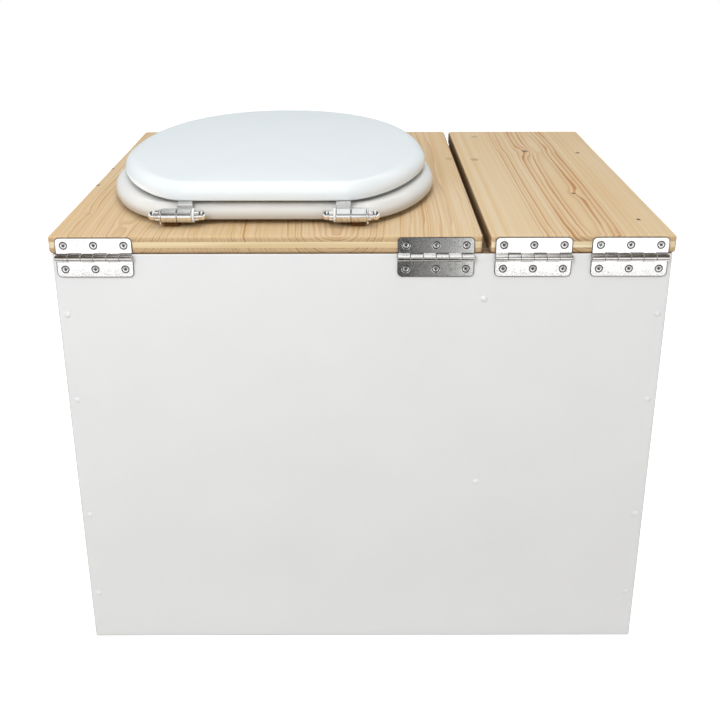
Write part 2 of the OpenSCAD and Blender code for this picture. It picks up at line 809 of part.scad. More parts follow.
module lid_strap(s) {
    rise = lid_z - axle_z;
    color("lightgray") difference() {
        at_seat_hinge(s) difference() {
            union() {
                along_x(lid_strap_lo, lid_strap_hi, barrel_r);
                translate([lid_strap_lo, -barrel_r, 0]) cube([lid_barrel_l, strap_t, rise]);
                translate([lid_strap_lo, -lid_strap_l, rise - strap_t])
                    cube([lid_barrel_l, lid_strap_l - barrel_r + strap_t, strap_t]);
            }
            along_x(lid_strap_lo - cut, lid_strap_hi + cut, axle_r + fit);
        }
        lid_strap_screw_holes();
    }
}

module at_lid_strap_screws() {
    at_seat_hinges() for (y = lid_screw_rows)
        translate([(lid_strap_lo + lid_strap_hi) / 2, -y, lid_z - axle_z - strap_t])
            rotate([180, 0, 0]) children();
}

module lid_strap_screw_holes() { at_lid_strap_screws() strap_screw(fit); }

module lid_strap_screws() {
    color("silver") at_lid_strap_screws() cross_screw(strap_screw_head_d, strap_screw_d, strap_screw_l);
}

// ---------- bucket and bail ----------

module bucket() {
    top = bucket_h - rim_r;
    slope = (bucket_top_r - bucket_bottom_r) / bucket_h;
    color("silver") translate([seat_x, hole_y, 0]) rotate_extrude() {
        polygon([
            [0, bucket_wall], [0, 2 * bucket_wall], [bucket_bottom_r - bucket_wall, 2 * bucket_wall],
            [bucket_top_r - bucket_wall - slope * rim_r, top], [bucket_top_r - slope * rim_r, top],
            [bucket_bottom_r, 0], [bucket_bottom_r - 4, 0], [bucket_bottom_r - 4 - bucket_wall, bucket_wall],
        ]);
        translate([bucket_top_r + rim_r - bucket_wall, top]) circle(rim_r, $fn = 32);
    }
}

// A bridge of strip on each side of the bucket, with the bail's hole in it.
module bucket_ears() {
    ear_w = 30;
    ear_h = 26;
    ear_t = 2.4;
    seam = 0.02;
    color("silver") translate([seat_x, hole_y, 0]) difference() {
        for (s = [0, 1]) mirror([s, 0, 0]) difference() {
            translate([bucket_top_r - 20, -ear_w / 2, ear_z - ear_h / 2])
                cube([ear_out - bucket_top_r + 20, ear_w, ear_h]);
            translate([bucket_top_r - 21, ear_t - ear_w / 2, ear_z - ear_h / 2 - cut])
                cube([ear_out - ear_t - bucket_top_r + 21, ear_w - 2 * ear_t, ear_h + 2 * cut]);
            translate([0, 0, ear_z]) along_x(0, ear_out + cut, bail_r + fit);
        }
        cylinder(h = bucket_h, r1 = bucket_bottom_r + seam, r2 = bucket_top_r + seam);
    }
}

// The bail's own plane: legs along +Y from the pivot line, joined by an arc.
module at_bail() {
    translate([seat_x, hole_y, ear_z]) mirror([0, 1, 0]) rotate([-bail_droop, 0, 0]) children();
}

module bail_wire() {
    pin_in = 8;
    color("gray") at_bail() {
        for (s = [0, 1]) mirror([s, 0, 0]) {
            along_x(bail_half - pin_in, bail_half, bail_r);
            translate([bail_half, 0, 0]) sphere(bail_r);
            translate([bail_half, 0, 0]) rotate([-90, 0, 0]) cylinder(h = bail_leg, r = bail_r);
        }
        translate([0, bail_leg, 0]) rotate_extrude(angle = 180) translate([bail_half, 0]) circle(bail_r);
    }
}

// A moulded grip round the middle of the arc.
module bail_grip() {
    half_angle = grip_l / 2 / bail_half * 180 / PI;
    color("black") at_bail() translate([0, bail_leg, 0])
        rotate(90 - half_angle) rotate_extrude(angle = 2 * half_angle) translate([bail_half, 0])
            difference() {
                circle(grip_r);
                circle(bail_r + fit);
            }
}

// ---------- what is drawn ----------

rear_panel();
front_panel();
seat_side_panel();
litter_side_panel();
partition_panel();
litter_floor();
litter_battens();
rear_panel_screws();
front_panel_screws();
batten_screws();
hinge_leaf(0, -1);  // hinge_1_box_leaf
hinge_leaf(1, -1);  // hinge_2_box_leaf
hinge_leaf(2, -1);  // hinge_3_box_leaf
hinge_leaf(3, -1);  // hinge_4_box_leaf
hinge_pin(0);  // hinge_1_pin
hinge_pin(1);  // hinge_2_pin
hinge_pin(2);  // hinge_3_pin
hinge_pin(3);  // hinge_4_pin
box_leaf_screws();
bucket();
bucket_ears();
seat_board();
hinge_leaf(0, 1);  // hinge_1_lid_leaf
hinge_leaf(1, 1);  // hinge_2_lid_leaf
seat_board_leaf_screws();
splash_guard();
splash_guard_screws();
seat_post(1);  // seat_post_1
seat_post(-1);  // seat_post_2
post_washers();
post_nuts();
seat_ring();
ring_bumpers();
ring_strap(1);  // ring_strap_1
ring_strap(-1);  // ring_strap_2
ring_strap_screws();
seat_axle(1);  // seat_axle_1
seat_axle(-1);  // seat_axle_2
axle_washers();
dome_nuts();
lid();
lid_strap(1);  // lid_strap_1
lid_strap(-1);  // lid_strap_2
lid_strap_screws();
lid_bumpers();
litter_lid();
hinge_leaf(2, 1);  // hinge_3_lid_leaf
hinge_leaf(3, 1);  // hinge_4_lid_leaf
litter_lid_leaf_screws();
bail_wire();
bail_grip();
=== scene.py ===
import math
import bmesh
import bpy
import numpy as np
from mathutils import Matrix, Vector


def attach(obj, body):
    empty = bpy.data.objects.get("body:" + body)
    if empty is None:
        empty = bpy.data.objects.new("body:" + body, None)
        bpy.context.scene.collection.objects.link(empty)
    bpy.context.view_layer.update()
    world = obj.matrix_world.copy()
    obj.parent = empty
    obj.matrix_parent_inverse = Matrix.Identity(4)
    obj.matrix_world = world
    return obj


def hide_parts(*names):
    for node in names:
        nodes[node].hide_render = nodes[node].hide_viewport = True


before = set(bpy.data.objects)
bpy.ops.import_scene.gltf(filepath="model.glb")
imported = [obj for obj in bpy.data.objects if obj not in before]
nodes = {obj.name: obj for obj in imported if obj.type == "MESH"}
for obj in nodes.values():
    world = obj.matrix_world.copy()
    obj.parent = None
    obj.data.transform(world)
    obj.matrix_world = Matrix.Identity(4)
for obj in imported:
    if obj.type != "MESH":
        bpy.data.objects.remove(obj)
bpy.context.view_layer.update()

# ---------- sizes of the part, in millimetres, in its own frame ----------

REAR, FRONT = 276.25, -283.75              # the boards' rear and front edges
PANEL_FRONT = -273.75                      # the front panel's face; the rear panel's is REAR
BOX_HALF = 322.0                           # half of the box's width
BOX_TOP, TOP = 481.0, 500.0                # under and on top of the boards
SEAT_LO, SEAT_HI = -125.3, 325.5           # the seat board's sides
LITTER_LO, LITTER_HI = -325.5, -131.5      # the litter lid's sides
SIDE_SCREWS, PARTITION_SCREWS = 313.0, -128.4  # the panel screws' places in X
SEAT_X, HOLE_Y = 103.7, -3.7               # the middle of the seat and of its opening
SEAT_REAR = 232.3                          # the rear edge of the ring and the lid
RING_Z, LID_Z = 505.3, 525.4               # their undersides
RING_THICK, LID_THICK, LID_RISE = 16.5, 18.0, 1.5
AXLE_Y, AXLE_Z = 240.95, 512.5             # the seat hinges' axles
SEAT_HINGES = 183.5                        # from one seat hinge's middle to the other's
HINGE_TO_POST, HINGE_TO_NUT = 8.35, 18.45  # along the axle, from a seat hinge's middle
POST_WIDTH, STRAP_WIDTH = 16.4, 15.6       # the two barrels on each axle
BARREL, BORE = 7.7, 3.1                    # their radii
HINGE_X = (278.0, -76.3, -177.5, -277.5)   # the butt hinges' middles
HINGE_LONG, KNUCKLES = 80.0, 6
PIN_Y, PIN_Z = REAR + 3.9, 477.5
KNUCKLE = 3.6                              # a knuckle's radius
LEAF_WIDE, LEAF_THICK = 21.4, 1.5          # a leaf reaches LEAF_WIDE from the pin's line
SCREW_PITCH, SCREW_ROW = 31.2, 12.8        # a leaf's screws: along it, and from the pin's line
HEAD_FACE = REAR + 1.3                     # the screw heads' face, just below the leaf's


# ---------- nodes written as sums ----------

def rgba(colour):
    """A colour, or a grey given as one number, with its alpha."""
    return (*colour, 1.0) if hasattr(colour, "__len__") else (colour, colour, colour, 1.0)


def emptied(owner):
    """The node tree of a material or of the world, with nothing in it."""
    owner.use_nodes = True
    owner.node_tree.nodes.clear()
    return owner.node_tree


class Val:
    """A node's output, so that nodes can be written as sums."""

    def __init__(self, graph, socket):
        self.graph, self.socket = graph, socket

    def __add__(self, b): return self.graph.math("ADD", self, b)
    def __radd__(self, b): return self.graph.math("ADD", b, self)
    def __sub__(self, b): return self.graph.math("SUBTRACT", self, b)
    def __rsub__(self, b): return self.graph.math("SUBTRACT", b, self)
    def __mul__(self, b): return self.graph.math("MULTIPLY", self, b)
    def __truediv__(self, b): return self.graph.math("DIVIDE", self, b)


class Graph:
    """A material made of nodes, which reads the object's own coordinates in millimetres."""

    def __init__(self, name, **sockets):
        self.mat = bpy.data.materials.new(name)
        self.tree = emptied(self.mat)
        self.bsdf = self.node("ShaderNodeBsdfPrincipled")
        self.tree.links.new(self.bsdf.outputs[0], self.node("ShaderNodeOutputMaterial").inputs[0])
        for key, value in sockets.items():
            self.bsdf.inputs[key.replace("_", " ")].default_value = value
        self.coord = self.node("ShaderNodeTexCoord")
        self.x, self.y, self.z = (v * 1000.0 for v in self.xyz("Object"))

    def node(self, kind, **props):
        n = self.tree.nodes.new(kind)
        for key, value in props.items():
            setattr(n, key, value)
        return n

    def plug(self, value, socket):
        if isinstance(value, Val):
            self.tree.links.new(value.socket, socket)
        else:
            socket.default_value = value

    def xyz(self, output):
        """The three parts of one of the coordinates, in the object's axes."""
        n = self.node("ShaderNodeSeparateXYZ")
        self.tree.links.new(self.coord.outputs[output], n.inputs[0])
        return [Val(self, n.outputs[i]) for i in range(3)]

    def facing(self):
        """The surface's own direction, in the object's axes."""
        return self.xyz("Normal")

    def math(self, op, *args, clamp=False):
        n = self.node("ShaderNodeMath", operation=op, use_clamp=clamp)
        for i, a in enumerate(args):
            self.plug(a, n.inputs[i])
        return Val(self, n.outputs[0])

    def clamp(self, value): return self.math("ADD", value, 0.0, clamp=True)

    def halfway(self, noise, spread):
        """A share of one half, which noise moves up and down within 0 and 1."""
        return self.math("MULTIPLY_ADD", noise, spread, 0.5, clamp=True)

    def vec(self, x, y, z):
        n = self.node("ShaderNodeCombineXYZ")
        for i, a in enumerate((x, y, z)):
            self.plug(a, n.inputs[i])
        return Val(self, n.outputs[0])

    def noisy(self, node, detail, rough):
        """A noise node's value about 0, from about -0.5 to 0.5."""
        for key, value in (("Scale", 1.0), ("Detail", detail), ("Roughness", rough)):
            node.inputs[key].default_value = value
        return Val(self, node.outputs[0]) - 0.5

    def noise(self, sx, sy, sz, detail=3.0, rough=0.5, shift=0.0):
        """Noise about 0, whose features are sx, sy and sz millimetres long."""
        n = self.node("ShaderNodeTexNoise")
        self.plug(self.vec(self.x / sx + shift, self.y / sy + shift, self.z / sz), n.inputs["Vector"])
        return self.noisy(n, detail, rough)

    def noise_along(self, value, detail=2.0, rough=0.5):
        """Noise about 0 that changes with one value only."""
        n = self.node("ShaderNodeTexNoise", noise_dimensions="1D")
        self.plug(value, n.inputs["W"])
        return self.noisy(n, detail, rough)

    def ramp(self, fac, stops, how="LINEAR"):
        n = self.node("ShaderNodeValToRGB")
        r = n.color_ramp
        r.interpolation = how
        while len(r.elements) < len(stops):
            r.elements.new(1.0)
        for e, (position, colour) in zip(r.elements, stops):
            e.position, e.color = position, rgba(colour)
        self.plug(fac, n.inputs[0])
        return Val(self, n.outputs[0])

    def mix(self, fac, a, b, how="MIX"):
        n = self.node("ShaderNodeMix", data_type="RGBA", blend_type=how, clamp_factor=True)
        self.plug(fac, n.inputs[0])
        for value, socket in ((a, n.inputs[6]), (b, n.inputs[7])):
            self.plug(value if isinstance(value, Val) else rgba(value), socket)
        return Val(self, n.outputs[2])

    def split(self, colour):
        n = self.node("ShaderNodeSeparateColor")
        self.plug(colour, n.inputs[0])
        return [Val(self, n.outputs[i]) for i in range(3)]

    def span(self, value, lo, hi, a=0.0, b=1.0):
        """value from lo to hi becomes a to b, clamped and eased at both ends."""
        n = self.node("ShaderNodeMapRange", interpolation_type="SMOOTHSTEP")
        for i, v in enumerate((value, lo, hi, a, b)):
            self.plug(v, n.inputs[i])
        return Val(self, n.outputs[0])

    def base(self, colour): self.plug(colour, self.bsdf.inputs["Base Color"])
    def rough(self, value): self.plug(value, self.bsdf.inputs["Roughness"])

    def bump(self, height, depth):
        """height in units of depth millimetres."""
        n = self.node("ShaderNodeBump")
        n.inputs["Strength"].default_value = 1.0
        n.inputs["Distance"].default_value = depth * 0.001
        self.plug(height, n.inputs["Height"])
        self.tree.links.new(n.outputs[0], self.bsdf.inputs["Normal"])


# ---------- materials ----------

def paint(name, low, high, stipple=0.03, unpainted_and_shaded=None):
    """Rolled satin paint: a fine stipple, faint unevenness in tone and sheen. On a panel, the strip where it
    stands on the floor and the outermost part of the box's width, at its sides, are darkened as painted shade.
    Its top edges, under the boards, are unpainted wood, dark brown, which is partly painted shade."""
    g = Graph(name, IOR=1.45)
    cloud = g.noise(90, 90, 90, 4)
    fine = g.noise(1.6, 1.6, 1.6, 2)
    colour = g.mix(g.halfway(cloud, 1.4), low, high)
    if unpainted_and_shaded:
        # painted shade: a dark line along the bottom, where the panel stands on the floor
        floor_shade = g.span(g.z, 0.5, 1.9, 0.85, 0.0) * (0.75 + cloud * 1.6)
        # painted shade: the outermost millimetre of the box's width, its outer side faces included, is half
        # darkened
        side_shade = g.span(g.math("ABSOLUTE", g.x), BOX_HALF - 1.3, BOX_HALF - 0.3, 0.0, 0.5)
        colour = g.mix(g.math("MAXIMUM", floor_shade, side_shade), colour, (0.24, 0.225, 0.195))
        # the top edges: unpainted wood, darkened as painted shade where they lie in the gaps under the boards
        top = g.span(g.z, BOX_TOP - 0.9, BOX_TOP - 0.3) * g.span(g.facing()[2], 0.6, 0.9)
        grain = g.noise(1.5, 1.5, 1.5, 3, 0.6)
        colour = g.mix(top, colour, g.mix(g.clamp(0.5 + grain * 1.5), *unpainted_and_shaded))
    g.base(colour)
    g.rough(0.42 + cloud * 0.12 + fine * 0.10)
    g.bump(fine + g.noise(7, 7, 7, 1) * 0.8, stipple)
    return g.mat


def lacquer(name, low, high, foot=None):
    """Hard glossy lacquer with a very slight orange peel. foot: a warm dark tint low on the outer sides, near
    the wood, which is painted shade and painted bounce light from the wood.
    """
    g = Graph(name, IOR=1.5)
    cloud = g.noise(70, 70, 70, 3)
    colour = g.mix(g.halfway(cloud, 1.6), low, high)
    if foot:
        # painted shade and warm bounce light, low down on the sides that don't face down
        painted_bounce_shade = g.span(g.z, RING_Z - 1.0, RING_Z + 12.5, 0.85, 0.0) * g.span(g.facing()[2], -0.8, -0.45)
        colour = g.mix(painted_bounce_shade, colour, foot)
    g.base(colour)
    g.rough(0.13 + g.noise(4, 4, 4, 2) * 0.05)
    g.bump(g.noise(5, 5, 5, 1), 0.006)
    return g.mat


def metal(name, low, high, rough, mottle=25.0, spread=1.6, bump=0.004, brushed=(9, 0.4, 0.4), metallic=1.0):
    """Metal with mottled tone, fine scratches and uneven polish."""
    g = Graph(name, Metallic=metallic)
    cloud = g.noise(mottle, mottle, mottle, 4, 0.6)
    scratch = g.noise(*brushed, 3, 0.6)
    g.base(g.mix(g.halfway(cloud, spread), low, high))
    g.rough(g.math("ADD", rough + cloud * rough * 0.7, scratch * rough * 0.6, clamp=True))
    g.bump(scratch, bump)
    return g.mat


def spangle(name, low, high, rough):
    """Zinc plating over rolled steel: a fine bright grain with uneven tone."""
    g = Graph(name, Metallic=1.0)
    grain = g.noise(1.6, 1.1, 1.1, 3, 0.75)
    cloud = g.noise(16, 16, 16, 4, 0.6)
    g.base(g.mix(g.clamp(0.98 + cloud * 1.3 + grain * (2.6 + cloud * 4.0)), low, high))
    g.rough(g.clamp(rough + grain * 0.08 + cloud * 0.08))
    g.bump(grain + cloud * 0.4, 0.022)
    return g.mat


def plain(name, low, high, rough, size=3.0, bump=0.02, **sockets):
    """Rubber, nylon, moulded plastic, grime, or painted shade: a fine grain and slight unevenness."""
    g = Graph(name, **sockets)
    grain = g.noise(size, size, size, 3, 0.6)
    g.base(g.mix(g.halfway(grain, 1.5), low, high))
    g.rough(rough + grain * 0.15)
    g.bump(grain, bump)
    return g.mat


# Oiled softwood's colours, and in YEAR how dark a ring grows from its early wood to its late wood.
EARLY, LATE = (0.670, 0.550, 0.385), (0.430, 0.195, 0.055)
DEEP, KNOT = (0.618, 0.445, 0.245), (0.070, 0.034, 0.018)
CUT_EARLY, CUT_LATE = (0.76, 0.58, 0.35), (0.36, 0.195, 0.085)
FIBRE_DARK, FIBRE_PALE = (0.40, 0.30, 0.18), (0.74, 0.66, 0.52)
# painted shade, dark brown, on the board sides that face the narrow gap
GAP_PAINTED_SHADE = (0.150, 0.070, 0.018)
YEAR = [(0.0, 0.0), (0.2, 0.05), (0.45, 0.30), (0.70, 0.85), (0.92, 1.0), (1.0, 0.0)]


def spruce(name, hearts, bands, slow, knots=(), along="y", ring=3.1, early=EARLY, late=LATE, warm=0.5,
           side=0):
    """Oiled softwood, solid all through, so that faces show long grain and ends show the rings' arcs.
    hearts: [up to X, the rings' middle in X, its depth under the top]. bands: (X, how strong the lines are).
    slow: (Y, how many rings the middle lies deeper). knots: (X, Y, radius, swirl, how dark).
    ring: how wide a ring is. warm: how much of DEEP is mixed in. side: which side, along X, lies in the
    narrow gap between the boards and is darkened there as painted shade. For wood that runs along X, X and Y
    change places."""
    g = Graph(name, IOR=1.46, Specular_IOR_Level=0.12)
    nx, ny, _ = g.facing()
    if along == "y":
        x, y, ends = g.x, g.y, ny
        wide, long, fibre = (80.0, 420.0, 80.0), (11.0, 240.0, 11.0), (0.75, 34.0, 0.75)
    else:
        x, y, ends = g.y, g.x, nx
        wide, long, fibre = (420.0, 80.0, 80.0), (240.0, 11.0, 11.0), (34.0, 0.75, 0.75)
    end = g.span(g.math("ABSOLUTE", ends), 0.55, 0.85)
    lo, hi = -330.0, 330.0                 # the ramps' ends, just beyond the boards

    def placed(rows):
        return [((at - lo) / (hi - lo), value) for at, value in rows]

    across, down = (x - lo) / (hi - lo), (y - lo) / (hi - lo)
    begins = [lo] + [row[0] for row in hearts[:-1]]
    coded = [((mid + 500) / 1000, deep / 200, 0.0) for _, mid, deep in hearts]
    heart, depth, _ = g.split(g.ramp(across, placed(zip(begins, coded)), "CONSTANT"))
    heart, depth = heart * 1000.0 - 500.0, depth * 200.0
    weight = g.split(g.ramp(across, placed(bands), "EASE"))[0]
    drift = g.split(g.ramp(down, placed(slow), "EASE"))[0]

    dx = x - heart + g.noise(*wide, 1) * 7.0
    dz = (TOP - g.z) + depth
    r = g.math("SQRT", dx * dx + dz * dz)
    zone = g.noise_along(r / 7.0, 2)
    r = r + g.noise_along(r / 16.0, 2) * 13.0
    t = r / ring + drift + g.noise(*wide, 1, 0.5, 7.3) * 0.9 + g.noise(*long, 2) * 0.28
    dark = None
    for kx, ky, kr, swirl, tone in knots:
        ex, ey = x - kx, (y - ky) * 0.40
        d2 = ex * ex + ey * ey
        t = t + g.math("EXPONENT", d2 * (-1.0 / (swirl * swirl))) * (swirl * 0.10)
        ey2 = (y - ky) * 0.72
        wob = g.math("SQRT", ex * ex + ey2 * ey2) + g.noise(3, 5, 3, 2) * kr * 0.7
        core = g.span(wob, kr * 0.7, kr * 1.7, tone, 0.0)
        dark = core if dark is None else g.math("MAXIMUM", dark, core)

    year = g.math("FLOOR", t)
    pick = g.node("ShaderNodeTexWhiteNoise", noise_dimensions="1D")
    g.plug(year, pick.inputs["W"])
    chance = Val(g, pick.outputs["Value"])
    line = g.split(g.ramp(t - year, YEAR))[0]
    line = line * weight * (0.34 + chance * chance * 1.35) * (1.0 + g.noise(*long, 2, 0.6, 2.7) * 1.3)
    streak = g.noise(*fibre, 4, 0.65)
    cloud = g.noise(*wide, 3, 0.5, 3.1)
    colour = g.mix(g.clamp(warm + cloud * 1.5 + streak * 0.5 + zone * 1.3), early, DEEP)
    colour = g.mix(g.clamp(line), colour, late)
    shade = g.clamp(0.5 + streak * 0.7)
    colour = g.mix(0.20, colour, g.mix(shade, FIBRE_DARK, FIBRE_PALE), "OVERLAY")
    pore = g.noise(1.2, 1.2, 1.2, 3, 0.7)
    cut_end = g.mix(g.clamp(0.35 + line * 0.7 + pore * 0.9), CUT_EARLY, CUT_LATE)
    colour = g.mix(end, colour, cut_end)
    if dark is not None:
        colour = g.mix(dark * (1.0 - end), colour, KNOT)
    if side:
        # painted shade in the narrow gap between the boards
        gap_painted_shade = g.span(nx * float(side), 0.5, 0.8)
        colour = g.mix(gap_painted_shade * (0.80 + cloud * 0.6), colour, GAP_PAINTED_SHADE)
    g.base(colour)
    g.rough(0.52 + streak * 0.18 - line * 0.08 + end * 0.10)
    g.bump(streak * 0.6 - line * 0.5, 0.03)
    return g.mat


SEAT_HEARTS = [(-38.0, 190.0, 60.0), (96.0, 27.0, 20.0), (188.0, -60.0, 60.0), (400.0, 253.0, 14.0)]
SEAT_BANDS = [(-125, 0.42), (-60, 0.50), (-34, 0.32), (10, 0.60), (60, 0.50), (118, 0.35), (131, 0.9),
              (136, 0.9), (142, 0.30), (205, 0.34), (240, 0.46), (290, 0.34), (320, 0.48)]
SEAT_SLOW = [(-280, 0.9), (-120, 0.3), (0, 0.7), (120, 0.1), (200, 0.35), (276, 0.95)]
SEAT_KNOTS = [(253.0, 233.0, 0.4, 8.0, 0.0), (324.0, -35.0, 2.6, 8.0, 0.9), (322.0, 54.0, 2.0, 6.0, 0.9),
              (-118.0, -92.0, 4.0, 7.0, 0.25), (303.0, 188.0, 3.0, 10.0, 0.12),
              (-70.0, -92.0, 3.0, 7.0, 0.15)]
LITTER_HEARTS = [(400.0, -242.5, 21.0)]
LITTER_BANDS = [(-325, 0.22), (-300, 0.14), (-276, 0.16), (-270, 0.90), (-256, 1.0), (-250, 0.50),
                (-236, 0.50), (-231, 0.95), (-214, 1.0), (-208, 0.35), (-190, 0.55), (-180, 0.22),
                (-165, 0.06), (-132, 0.10)]
LITTER_SLOW = [(-290, 0.42), (-215, 0.16), (-165, 0.0), (-118, 0.40), (5, 0.14), (60, 0.0), (225, 0.05),
               (270, 0.40)]
LITTER_KNOTS = [(-226.6, -140.0, 3.4, 13.0, 0.75), (-297.8, -129.0, 2.4, 7.0, 0.85),
                (-250.0, 98.4, 2.0, 8.0, 0.9), (-299.4, 214.0, 1.9, 3.0, 1.0),
                (-151.6, -87.0, 4.5, 11.0, 0.35), (-167.0, -243.0, 4.0, 10.0, 0.30)]

# its second pair of colours: the panels' top edges, unpainted wood darkened as painted shade
WHITE = paint("white_paint", (0.838, 0.842, 0.845), (0.872, 0.875, 0.877),
              unpainted_and_shaded=((0.16, 0.095, 0.045), (0.30, 0.190, 0.095)))
SCREW_PAINT = paint("painted_screw", (0.850, 0.853, 0.855), (0.880, 0.882, 0.884), 0.015)
LACQUER = lacquer("white_lacquer", (0.765, 0.802, 0.815), (0.790, 0.824, 0.835))
# the ring's lacquer: a warmer, darker copy of the lid's, painted bounce light and shade from the wood
RING_LACQUER_SHADED = lacquer("white_lacquer_ring_painted_bounce_shade", (0.715, 0.703, 0.675), (0.740, 0.728, 0.702),
                       (0.42, 0.375, 0.31))
ZINC = spangle("bright_zinc", (0.44, 0.435, 0.42), (0.985, 0.98, 0.97), 0.09)
# the leaves' edges: darker sheared zinc, and a dark outline of painted shade
EDGE_AND_SHADE = metal("sheared_zinc_edge_and_painted_shade", (0.10, 0.095, 0.09), (0.34, 0.33, 0.32), 0.42, 5, 2.0, 0.01)
GRIME_AND_SHADE = plain("screw_hole_grime_and_painted_shade", (0.035, 0.032, 0.029), (0.11, 0.10, 0.09), 0.55, 0.8, 0.02)
SCREW = metal("screw_zinc", (0.72, 0.73, 0.75), (0.95, 0.955, 0.96), 0.16, 3, 2.4, 0.006)
PIN = metal("pin_steel", (0.48, 0.44, 0.40), (0.72, 0.69, 0.66), 0.24, 8)
CHROME = metal("chrome", (0.86, 0.87, 0.88), (0.94, 0.95, 0.955), 0.07, 20, 1.6, 0.002)
SATIN = metal("satin_chrome", (0.82, 0.83, 0.84), (0.93, 0.94, 0.945), 0.13, 6, 1.8, 0.003)
STRAP = metal("rolled_strap", (0.80, 0.80, 0.79), (0.92, 0.92, 0.91), 0.30, 6, 1.8, 0.004)
STEEL = metal("stainless", (0.76, 0.76, 0.75), (0.88, 0.88, 0.87), 0.34, 40, 1.4, 0.006, (40, 40, 0.5), 0.5)
NYLON = plain("nylon", (0.78, 0.785, 0.78), (0.86, 0.865, 0.86), 0.35, 2.0, 0.01)
# dark brown painted shade, with the shaded wood's reflection, for the posts' feet
FOOT_SHADE = plain("post_foot_painted_shade", (0.085, 0.036, 0.011), (0.140, 0.062, 0.021), 0.6, 1.5, 0.02,
             Specular_IOR_Level=0.1)
RUBBER = plain("bumper_rubber", (0.050, 0.050, 0.052), (0.080, 0.080, 0.083), 0.62, 1.5, 0.03)
GRIP = plain("grip_black", (0.018, 0.018, 0.020), (0.034, 0.034, 0.037), 0.42, 0.8, 0.04)
SEAT_OUT = spruce("spruce_seat", SEAT_HEARTS, SEAT_BANDS, SEAT_SLOW, SEAT_KNOTS, side=-1)
LITTER_OUT = spruce("spruce_litter", LITTER_HEARTS, LITTER_BANDS, LITTER_SLOW, LITTER_KNOTS, warm=0.40,
                    side=1)
CORE = dict(bands=[(-300, 0.4), (300, 0.4)], slow=[(-300, 0.1), (300, 0.6)], along="x", warm=0.1)
SEAT_CORE = spruce("spruce_core_seat", [(400.0, 60.0, 90.0)], ring=4.2, early=(0.90, 0.760, 0.520),
                   late=(0.68, 0.49, 0.27), side=-1, **CORE)
LITTER_CORE = spruce("spruce_core_litter", [(400.0, 40.0, 70.0)], ring=4.6, early=(0.93, 0.80, 0.58),
                     late=(0.70, 0.52, 0.31), side=1, **CORE)
PINE = spruce("batten_pine", [(400.0, -150.0, 40.0)], [(-330, 0.5), (330, 0.5)],
              [(-300, 0.2), (300, 0.7)], ring=3.6)


# ---------- outlines and shapes ----------

def circle(r, n):
    """n points round a circle of radius r."""
    return [(r * math.cos(2 * math.pi * k / n), r * math.sin(2 * math.pi * k / n)) for k in range(n)]


def arc(cx, cy, r, start, turn, steps):
    """An arc's points, both ends included. It begins at the angle start and goes on by turn, in degrees."""
    angles = [math.radians(start + turn * k / steps) for k in range(steps + 1)]
    return [(cx + r * math.cos(a), cy + r * math.sin(a)) for a in angles]


def rounded(x0, x1, y0, y1, r, inset, steps=6):
    """A rectangle's outline with round corners, moved in by inset."""
    r = max(r - inset, 0.4)
    x0, x1, y0, y1 = x0 + inset + r, x1 - inset - r, y0 + inset + r, y1 - inset - r
    corners = ((x1, y1, 0), (x0, y1, 90), (x0, y0, 180), (x1, y0, 270))
    return [p for cx, cy, start in corners for p in arc(cx, cy, r, start, 90.0, steps)]


def slot_hole(cx, cy, r, straight, grow, steps=24):
    """An oblong outline, made larger by grow."""
    ends = ((cy + straight / 2, 0), (cy - straight / 2, 180))
    return [p for y, start in ends for p in arc(cx, y, r + grow, start, 180.0, steps)]


def half_outline(half, back, front, flat, p, q, n=(8, 40, 60)):
    """From the middle of the rear round to the middle of the front: straight, corner, rounder front.
    back and front: how far it reaches from its widest line. flat: half of the straight rear. p and q: how
    square the rear and the front are."""
    out = [(flat * i / n[0], back) for i in range(n[0])]
    for i in range(n[1] + 1):
        t = math.pi / 2 * i / n[1]
        out.append((flat + (half - flat) * math.sin(t) ** (2 / p), back * max(math.cos(t), 0.0) ** (2 / p)))
    for i in range(1, n[2] + 1):
        t = math.pi / 2 * i / n[2]
        out.append((half * max(math.cos(t), 0.0) ** (2 / q), -front * math.sin(t) ** (2 / q)))
    return out


def full(half, y, z):
    """Both sides of an outline at height z, whose widest line is at y."""
    return [(SEAT_X + p[0], y + p[1], z) for p in half] + \
           [(SEAT_X - p[0], y + p[1], z) for p in half[-2:0:-1]]


def edge_rows(thick, low, inward, down, n=7):
    """[inset, height] from an edge's underside to its top: a small round, then a quarter of an ellipse."""
    rows = [(low - low * math.sin(a), low - low * math.cos(a)) for a in np.linspace(0, math.pi / 2, n)]
    return rows + [(inward * (1 - math.cos(a)), thick - down * (1 - math.sin(a)))
                   for a in np.linspace(0, math.pi / 2, 2 * n)]


class Shape:
    """Points in millimetres, and faces with the number of each one's material."""

    def __init__(self):
        self.verts, self.faces, self.marks = [], [], []

    def face(self, points, mark=0):
        self.faces.append(tuple(points))
        self.marks.append(mark)

    def band(self, a, b, n, mark=0):
        """Faces between the two loops of n points that start at a and b."""
        for i in range(n):
            k = (i + 1) % n
            self.face((a + i, a + k, b + k, b + i), mark)

    def tube(self, loops, marks=None, closed=False, caps=False):
        """Loops of points and the bands between them, a mark for each band. Gives where each loop starts."""
        n = len(loops[0])
        starts = [len(self.verts) + j * n for j in range(len(loops))]
        for loop in loops:
            self.verts.extend(loop)
        for j, (a, b) in enumerate(zip(starts, starts[1:] + starts[:1] if closed else starts[1:])):
            self.band(a, b, n, marks[j] if marks else 0)
        if caps:
            self.face(range(starts[0], starts[0] + n))
            self.face(range(starts[-1], starts[-1] + n))
        return starts

    def add(self, other, mark=0):
        """Takes in another shape, all in one material."""
        base = len(self.verts)
        self.verts.extend(other.verts)
        for face in other.faces:
            self.face((base + i for i in face), mark)


